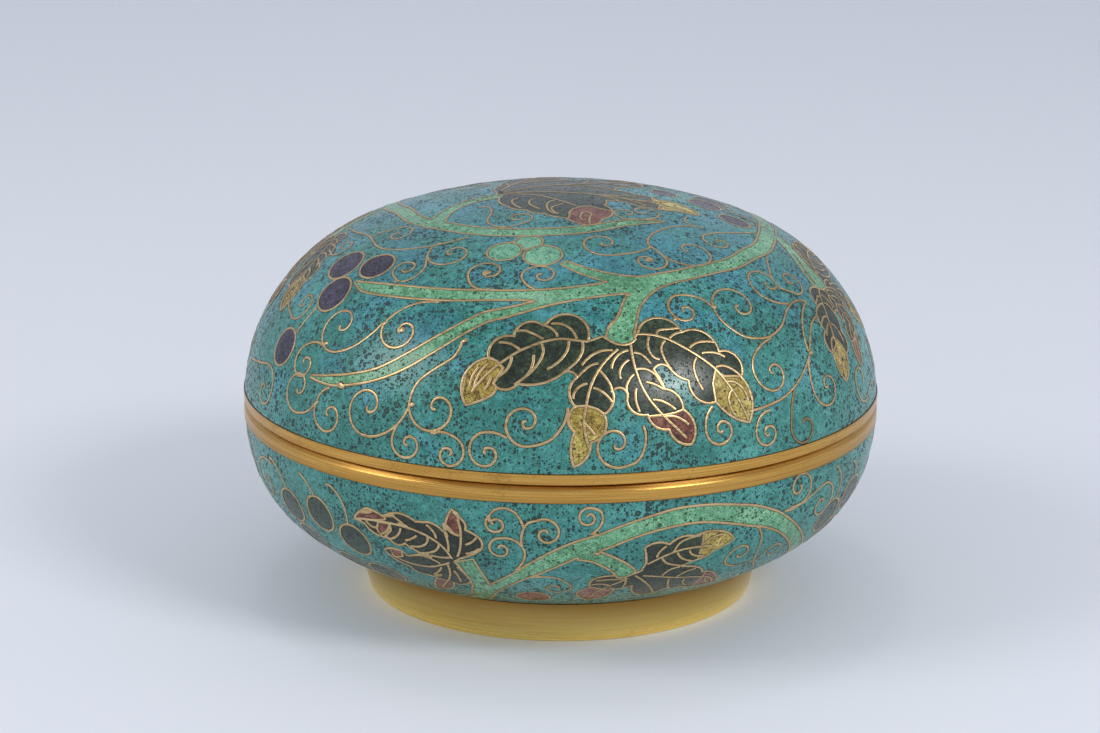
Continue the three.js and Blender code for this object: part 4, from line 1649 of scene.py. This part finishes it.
@dataclass
class Wiring:
    """The wires of one shell."""

    name: str
    foot_width: float = 0.74
    top_width: float = 0.31
    height: float = 0.09
    sunk: float = 0.03
    unevenness: float = 0.45

    def strands(self, sheet: Sheet, fields: Fields) -> list[Strand]:
        """The wires that a sheet and its fields ask for."""
        chart = sheet.chart
        found = []
        for dull, lines in ((0.0, fields.borders + sheet.wires), (TARNISH, sheet.dull_wires)):
            for line in lines:
                places, normals = chart.lay(line)
                found.append(Strand(places, normals, np.ones(len(line)), dull))
        for start, end, width in sheet.blobs:
            line = start + (end - start) * np.linspace(0, 1, len(BLOB_SWELL))
            places, normals = chart.lay(line)
            found.append(Strand(places, normals, BLOB_SWELL * width))
        return found

    def build(self, sheet: Sheet, fields: Fields, finish: bpy.types.Material) -> bpy.types.Object:
        """Lays the wires.

        Args:
            sheet: what is drawn on the shell.
            fields: the fields of enamel that it is cut into.
            finish: the wires' material.

        Returns:
            The wires, as one piece.
        """
        places, edges, normals, gauges, dulls = [], [], [], [], []
        for strand in self.strands(sheet, fields):
            first = len(places)
            looped = len(strand.places) > 3 and np.allclose(strand.places[0], strand.places[-1])
            count = len(strand.places) - (1 if looped else 0)
            places.extend(strand.places[:count])
            edges += [(first + i, first + i + 1) for i in range(count - 1)]
            if looped:
                edges.append((first + count - 1, first))
            normals.append(strand.normals[:count])
            gauges.append(strand.gauge[:count])
            dulls.append(np.full(count, strand.dull))
        mesh = bpy.data.meshes.new(self.name)
        mesh.from_pydata([tuple(p) for p in places], edges, [])
        add_attribute(mesh, "outward", np.concatenate(normals))
        add_attribute(mesh, "gauge", np.concatenate(gauges))
        add_attribute(mesh, "dull", np.concatenate(dulls))
        tree = Growth(f"{self.name} laying")
        foot = tree.size("Foot width", self.foot_width * MM)
        top = tree.size("Top width", self.top_width * MM)
        height = tree.size("Height", self.height * MM)
        sunk = tree.size("Sunk", self.sunk * MM)
        stray = tree.size("Unevenness", self.unevenness)
        curve = tree.add("GeometryNodeMeshToCurve", inputs={0: tree.geometry})
        curve = tree.add("GeometryNodeSetCurveNormal", {"mode": "FREE"},
                         {0: curve, "Normal": tree.named("outward", "FLOAT_VECTOR")})
        profile = tree.add("GeometryNodeCurvePrimitiveQuadrilateral", {"mode": "TRAPEZOID"},
                           {"Height": height, "Bottom Width": foot, "Top Width": top, "Offset": 0.0})
        profile = tree.add("GeometryNodeTransform", inputs={0: profile, "Rotation": (0, 0, -math.pi / 2)})
        here = tree.add("GeometryNodeInputPosition")
        side = tree.add("ShaderNodeSeparateXYZ", inputs={0: here}).outputs[0]
        low = tree.math("LESS_THAN", side, 0.0)
        profile = tree.add("GeometryNodeStoreNamedAttribute", {"data_type": "FLOAT", "domain": "POINT"},
                           {0: profile, "Name": "low", "Value": low})
        rise = tree.math("SUBTRACT", tree.math("MULTIPLY", height, 0.5), sunk)
        profile = tree.add("GeometryNodeTransform", inputs={
            0: profile, "Translation": tree.add("ShaderNodeCombineXYZ", inputs={0: rise}),
        })
        wander = tree.math("SUBTRACT", tree.noise(here, 700.0, 2, w=4.0), 0.5)
        scale = tree.math("MULTIPLY_ADD", wander, stray, 1.0)
        scale = tree.math("MULTIPLY", scale, tree.named("gauge"))
        laid = tree.add("GeometryNodeCurveToMesh",
                        inputs={0: curve, 1: profile, "Scale": scale, "Fill Caps": True})
        # Painted shade, with tarnish: the low sides of every wire are painted dark for the shaded groove
        # beside it, and dull wires are tarnished all over
        grime_and_shade = tree.math("MAXIMUM", tree.named("low"), tree.named("dull"))
        laid = tree.add("GeometryNodeStoreNamedAttribute", {"data_type": "FLOAT", "domain": "POINT"},
                        {0: laid, "Name": "grime_and_shade", "Value": grime_and_shade})
        return tree.grow(new_object(self.name, mesh), laid, finish)


@dataclass
class Vessel:
    """An enamelled copper shell: the wall, the fields of enamel on it, and the enamel inside."""

    name: str
    chart: Chart
    wall: float
    mouth_height: float
    marks: tuple[tuple[Move, tuple[Mark, ...]], ...]
    gap: float = 1.6
    inner_gap: float = 2.4

    def sheet(self) -> Sheet:
        """All marks, drawn on one sheet."""
        sheet = Sheet(self.chart)
        for move, marks in self.marks:
            for mark in marks:
                mark.draw(sheet, move)
        return sheet

    def inner_wall(self) -> Wall:
        """The shell's inner face, from the height of the mouth on."""
        arcs = [arc.inset(self.wall) for arc in self.chart.wall.arcs]
        first = arcs[0]
        start = math.asin((self.mouth_height - first.centre[1]) / first.radius)
        arcs[0] = Arc(first.centre, first.radius, start, first.end)
        return Wall(arcs, self.chart.wall.upward)

    def build(self, fields: Fields, finishes: list[bpy.types.Material]) -> bpy.types.Object:
        """The enamelled shell as one closed mesh.

        Args:
            fields: the fields of enamel on its outside.
            finishes: the enamels, in the order of their kinds.

        Returns:
            The shell.
        """
        places, normals = self.chart.lay(fields.points)
        faces = [tuple(t) for t in fields.triangles.tolist()]
        finish_of = fields.glasses.tolist()
        on_rim = np.abs(fields.points) > self.chart.wall.reach[0] * math.cos(math.pi / RIM_PARTS) - 1e-3
        rim = np.flatnonzero(on_rim)
        azimuth = np.arctan2(places[rim, 0], -places[rim, 1])
        rim = rim[np.argsort(azimuth)]
        azimuth = np.sort(azimuth)
        inner = self.inner_wall()
        rings = np.linspace(0, inner.length, max(4, int(inner.length / self.inner_gap)))[:-1]
        parts_of_uv = [0.25 + fields.points / self.chart.wall.reach[0] * 0.235 + 0.5j]
        last = rim.tolist()
        for along in rings:
            r, z, tilt = (float(np.interp(along, inner.along, table)) for table in
                          (inner.radius, inner.height, inner.tilt))
            ring = list(range(len(places), len(places) + len(azimuth)))
            direction = np.stack([np.sin(azimuth), -np.cos(azimuth)], 1)
            height = np.full((len(azimuth), 1), z)
            places = np.concatenate([places, np.hstack([direction * r, height]) * MM])
            lean = np.full((len(azimuth), 1), -math.sin(tilt))
            normals = np.concatenate([normals, np.hstack([-direction * math.cos(tilt), lean])])
            reach = 0.235 * (1 - along / inner.length) + 0.005
            parts_of_uv.append(0.75 + 0.5j + reach * np.exp(1j * azimuth))
            for i, (a, b) in enumerate(zip(last, ring)):
                c, d = ring[(i + 1) % len(ring)], last[(i + 1) % len(last)]
                faces.append((a, b, c, d) if self.chart.wall.upward else (a, d, c, b))
                finish_of.append(0)
            last = ring
        apex = len(places)
        top = float(inner.height[-1])
        places = np.concatenate([places, [[0, 0, top * MM]]])
        normals = np.concatenate([normals, [[0, 0, -1.0 if self.chart.wall.upward else 1.0]]])
        parts_of_uv.append(np.array([0.75 + 0.5j]))
        for i, a in enumerate(last):
            b = last[(i + 1) % len(last)]
            faces.append((a, apex, b) if self.chart.wall.upward else (a, b, apex))
            finish_of.append(0)
        mesh = bpy.data.meshes.new(self.name)
        mesh.from_pydata([tuple(p) for p in places], [], faces)
        for finish in finishes:
            mesh.materials.append(finish)
        mesh.polygons.foreach_set("material_index", finish_of)
        mesh.shade_smooth()
        mesh.normals_split_custom_set_from_vertices([tuple(n) for n in normals])
        spread = np.concatenate(parts_of_uv)
        corners = np.zeros(len(mesh.loops), int)
        mesh.loops.foreach_get("vertex_index", corners)
        layer = mesh.uv_layers.new(name="OFBake")
        layer.data.foreach_set("uv", np.stack([spread.real, spread.imag], 1)[corners].ravel())
        return new_object(self.name, mesh)


def keep(piece: bpy.types.Object, slot: str, *nodes: str) -> None:
    """Puts a piece on the box: it rides on the box's body and stands for the nodes named, which are hidden.
    """
    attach(piece, "root")
    if nodes:
        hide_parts(*nodes)
    LOG.info("%s: %d faces", piece.name, len(piece.data.polygons))


@dataclass
class Finishes:
    """The materials that the sub-assemblies share."""

    enamels: list[bpy.types.Material]
    rings: bpy.types.Material
    foot: bpy.types.Material
    wire: bpy.types.Material


def make_finishes() -> Finishes:
    """Makes the enamels and the gildings."""
    made = {enamel.glass: enamel.material() for enamel in ENAMELS}
    return Finishes(
        enamels=[made[glass] for glass in Glass],
        rings=RING_GILDING.material(),
        foot=FOOT_GILDING_PAINTED_LIGHTER.material(),
        wire=WIRE_GILDING.material(),
    )


@dataclass
class Lid:
    """The domed lid: an enamelled shell, its wires and the gilt ring along its mouth. In millimetres."""

    rim_radius: float = 60.0
    rim_width: float = 2.8
    rim_edge: float = 0.25
    enamel_step: float = 0.2
    wall: float = 2.4
    lean: float = 4.2
    shoulder_radius: float = 34.7

    def chart(self) -> Chart:
        """The drawing of its outside, from the height of its mouth to the top of its crown."""
        low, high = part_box("lid")
        lean = math.radians(self.lean)
        mouth = (self.rim_radius - self.enamel_step, low[2] / MM)
        shoulder = arc_from(mouth, self.shoulder_radius, lean, lean)
        across, up = shoulder.centre
        rise = high[2] / MM - up
        crown_radius = (across**2 + rise**2 - self.shoulder_radius**2) / (2 * (rise - self.shoulder_radius))
        middle = high[2] / MM - crown_radius
        turn = math.atan2(up - middle, across)
        arcs = [
            Arc(shoulder.centre, self.shoulder_radius, lean, turn),
            Arc((0.0, middle), crown_radius, turn, math.pi / 2),
        ]
        return Chart(Wall(arcs, upward=True))

    def build(self, finishes: Finishes) -> None:
        """Makes the lid's pieces."""
        low, high = (corner[2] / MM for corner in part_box("lid_rim"))
        chart = self.chart()
        vessel = Vessel("lid_enamel", chart, self.wall, high, (
            (Move(), LID_BRANCH),
            (Move(180), LID_BRANCH),
            (Move(), LID_SIDES),
            (Move(), LID_TOP),
            (Move(), LID_VINES),
        ))
        sheet = vessel.sheet()
        fields = cut_fields(sheet, vessel.gap)
        keep(vessel.build(fields, finishes.enamels), "enamel", "lid")
        keep(Wiring("lid_wires").build(sheet, fields, finishes.wire), "gilt")
        inside_radius = self.rim_radius - self.rim_width
        corners = [
            (inside_radius, low, 0.2), (self.rim_radius, low, self.rim_edge + 0.1),
            (self.rim_radius, high, 0.22), (inside_radius, high, 0.1),
        ]
        keep(Turned.ring("lid_ring", corners, [high], finishes.rings), "gilt", "lid_rim")


@dataclass
class Bowl:
    """The bowl: an enamelled shell, its wires and the gilt ring with the lid's flange. In millimetres."""

    rim_radius: float = 60.0
    rim_height: float = 3.0
    bevel: float = 0.85
    enamel_step: float = 0.2
    wall: float = 2.4
    flange_outside: float = 56.9
    flange_width: float = 1.2
    flange_edge: float = 0.3
    leans: tuple[float, float, float] = (2.5, 15.4, 49.3)
    bends: tuple[float, float] = (35.3, 21.1)
    base_radius: float = 24.0

    def chart(self) -> Chart:
        """The drawing of its outside, from its mouth down to the middle of its base."""
        tilts = [-math.radians(lean) for lean in self.leans]
        mouth = (self.rim_radius - self.enamel_step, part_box("bowl")[1][2] / MM)
        upper = arc_from(mouth, self.bends[0], tilts[0], tilts[1])
        haunch = arc_from(upper.at(tilts[1]), self.bends[1], tilts[1], tilts[2])
        below = haunch.at(tilts[2])
        wide = (below[0] - self.base_radius) / math.cos(tilts[2])
        underside = arc_from(below, wide, tilts[2], -math.pi / 2)
        return Chart(Wall([upper, haunch, underside], upward=False))

    def build(self, finishes: Finishes) -> None:
        """Makes the bowl's pieces."""
        chart = self.chart()
        mouth, flange_top = (corner[2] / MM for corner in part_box("bowl_rim"))
        seat = mouth + self.rim_height
        vessel = Vessel("bowl_enamel", chart, self.wall, mouth, (
            (Move(), BOWL_BRANCH),
            (Move(180), BOWL_BRANCH),
            (Move(), BOWL_SIDES),
            (Move(180), BOWL_SIDES),
        ))
        sheet = vessel.sheet()
        fields = cut_fields(sheet, vessel.gap)
        keep(vessel.build(fields, finishes.enamels), "enamel", "bowl")
        keep(Wiring("bowl_wires").build(sheet, fields, finishes.wire), "gilt")
        flange_inside = self.flange_outside - self.flange_width
        corners = [
            (flange_inside, mouth, 0.15), (self.rim_radius, mouth, 0.15),
            (self.rim_radius, seat - self.bevel, 0.25), (self.rim_radius - self.bevel, seat, 0.2),
            (self.flange_outside, seat, 0.12),
            (self.flange_outside, flange_top - self.flange_edge, 0.1),
            (self.flange_outside - self.flange_edge, flange_top, 0.1), (flange_inside, flange_top, 0.2),
        ]
        keep(Turned.ring("bowl_ring", corners, [mouth], finishes.rings), "gilt", "bowl_rim")


@dataclass
class Foot:
    """The gilt foot ring. In millimetres."""

    top_radius: float = 38.6
    bottom_radius: float = 36.7
    wall: float = 2.2
    solder: float = 0.1
    edge: float = 0.35
    dirty_depths: tuple[float, ...] = (0.0, 0.2, 0.4)
    unevenness: float = 0.06

    def build(self, bowl: Chart, finishes: Finishes) -> None:
        """Makes the ring, cut to the bowl's underside."""
        def under(radius: float) -> float:
            """The height of the bowl's underside at a radius."""
            return float(np.interp(-radius, -bowl.wall.radius, bowl.wall.height)) - self.solder

        corners = [
            (self.bottom_radius - self.wall, 0.0, 0.2), (self.bottom_radius, 0.0, self.edge),
            (self.top_radius, under(self.top_radius), 0.1),
            (self.top_radius - self.wall, under(self.top_radius - self.wall), 0.1),
        ]
        dirty = [under(self.top_radius) - depth for depth in self.dirty_depths]
        ring = Turned.ring("foot", corners, dirty, finishes.foot, self.unevenness)
        keep(ring, "gilt", "foot_ring")


# The photographer's table


@dataclass
class Studio:
    """Pale paper that curves up behind the box, a lamp on each side, a small one behind, and the camera."""

    camera_distance: float = 0.5821
    camera_rise: float = 16.106
    aim_height: float = 0.036947
    yaw: float = -0.199
    pitch: float = 0.454
    roll: float = 0.346
    lens: float = 100.0
    sensor: float = 36.0
    table_reach: float = 1.6
    curve_start: float = 0.75
    curve_radius: float = 0.5
    wall_height: float = 1.6
    paper: Colour = (233, 236, 242)
    daylight: Colour = (230, 234, 242)
    horizon: float = 1.0
    zenith: float = 0.54

    def camera(self) -> None:
        """Sets the camera at the photograph's angle, by values fitted to the outline, rings and foot."""
        rise = math.radians(self.camera_rise)
        back = Vector((0, -math.cos(rise), math.sin(rise)))
        place = back * self.camera_distance + Vector((0, 0, self.aim_height))
        axes = Matrix(((1, 0, 0), tuple(Vector((1, 0, 0)).cross(-back)), tuple(back))).transposed()
        turned = axes @ Matrix.Rotation(math.radians(-self.yaw), 3, "Y")
        turned = turned @ Matrix.Rotation(math.radians(self.pitch), 3, "X")
        turned = turned @ Matrix.Rotation(math.radians(self.roll), 3, "Z")
        data = bpy.data.cameras.new("camera")
        data.lens = self.lens
        data.sensor_width = self.sensor
        camera = bpy.data.objects.new("camera", data)
        camera.matrix_world = Matrix.Translation(place) @ turned.to_4x4()
        bpy.context.scene.collection.objects.link(camera)
        bpy.context.scene.camera = camera

    def lamp(self, name: str, azimuth: float, rise: float, distance: float, size: Spot,
             power: float) -> None:
        """Hangs a soft lamp that faces the box.

        Args:
            name: the lamp's name.
            azimuth: degrees round from the front.
            rise: degrees above the table.
            distance: metres from the box.
            size: its width and height, in metres.
            power: its power, in watts.
        """
        data = bpy.data.lights.new(name, "AREA")
        data.shape = "RECTANGLE"
        data.size, data.size_y = size
        data.energy = power
        lamp = bpy.data.objects.new(name, data)
        turn, up = math.radians(azimuth), math.radians(rise)
        towards = Vector((math.sin(turn) * math.cos(up), -math.cos(turn) * math.cos(up), math.sin(up)))
        lamp.location = towards * distance + Vector((0, 0, self.aim_height))
        lamp.rotation_euler = towards.to_track_quat("Z", "Y").to_euler()
        bpy.context.scene.collection.objects.link(lamp)

    def table(self) -> None:
        """Lays the paper, flat under the box and curved up behind it."""
        steps = np.linspace(0, math.pi / 2, 17)
        line = [(-self.table_reach * 2, 0.0)]
        line += [(self.curve_start + self.curve_radius * math.sin(t), self.curve_radius * (1 - math.cos(t)))
                 for t in steps]
        line.append((self.curve_start + self.curve_radius, self.wall_height * 2))
        places, faces = [], []
        for y, z in line:
            places += [(-self.table_reach * 2, y, z), (self.table_reach * 2, y, z)]
        for i in range(len(line) - 1):
            faces.append((2 * i, 2 * i + 1, 2 * i + 3, 2 * i + 2))
        mesh = bpy.data.meshes.new("paper")
        mesh.from_pydata(places, [], faces)
        mesh.shade_smooth()
        paper = new_object("paper", mesh)
        material, nodes, shader = new_material("pale_paper")
        place = place_in_mm(nodes)
        cloudy = nodes.noise(place, 0.004, 2)
        colour = nodes.mix(cloudy, tint(self.paper), tint(tuple(c - 3 for c in self.paper)))
        nodes.tree.links.new(colour, shader.inputs["Base Color"])
        shader.inputs["Roughness"].default_value = 0.7
        mesh.materials.append(material)

    def air(self) -> None:
        """Fills the room with pale light."""
        world = bpy.data.worlds.new("room")
        bpy.context.scene.world = world
        world.use_nodes = True
        background = world.node_tree.nodes["Background"]
        background.inputs["Color"].default_value = tint(self.daylight)
        nodes = Nodes(world.node_tree)
        view = nodes.add("ShaderNodeTexCoord").outputs["Generated"]
        height = nodes.add("ShaderNodeSeparateXYZ", inputs={0: view}).outputs[2]
        strength = nodes.ramp(height, 0.0, 1.0, self.horizon, self.zenith)
        nodes.tree.links.new(strength.outputs[0], background.inputs["Strength"])
        bpy.context.scene.view_settings.view_transform = "Standard"

    def build(self) -> None:
        """Sets up the camera, the lamps and the paper."""
        self.camera()
        self.lamp("left lamp", -72, 37, 1.0, (0.4, 0.4), 2.3)
        self.lamp("right lamp", 47, 37, 1.0, (0.32, 0.22), 3.4)
        self.lamp("back lamp", -150, 77, 1.2, (0.15, 0.15), 0.5)
        self.table()
        self.air()


def main() -> None:
    """Builds the studio and the box."""
    logging.basicConfig(level=logging.INFO, format="%(message)s")
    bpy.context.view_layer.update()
    Studio().build()
    finishes = make_finishes()
    Lid().build(finishes)
    bowl = Bowl()
    bowl.build(finishes)
    Foot().build(bowl.chart(), finishes)


if __name__ == "__main__":
    main()
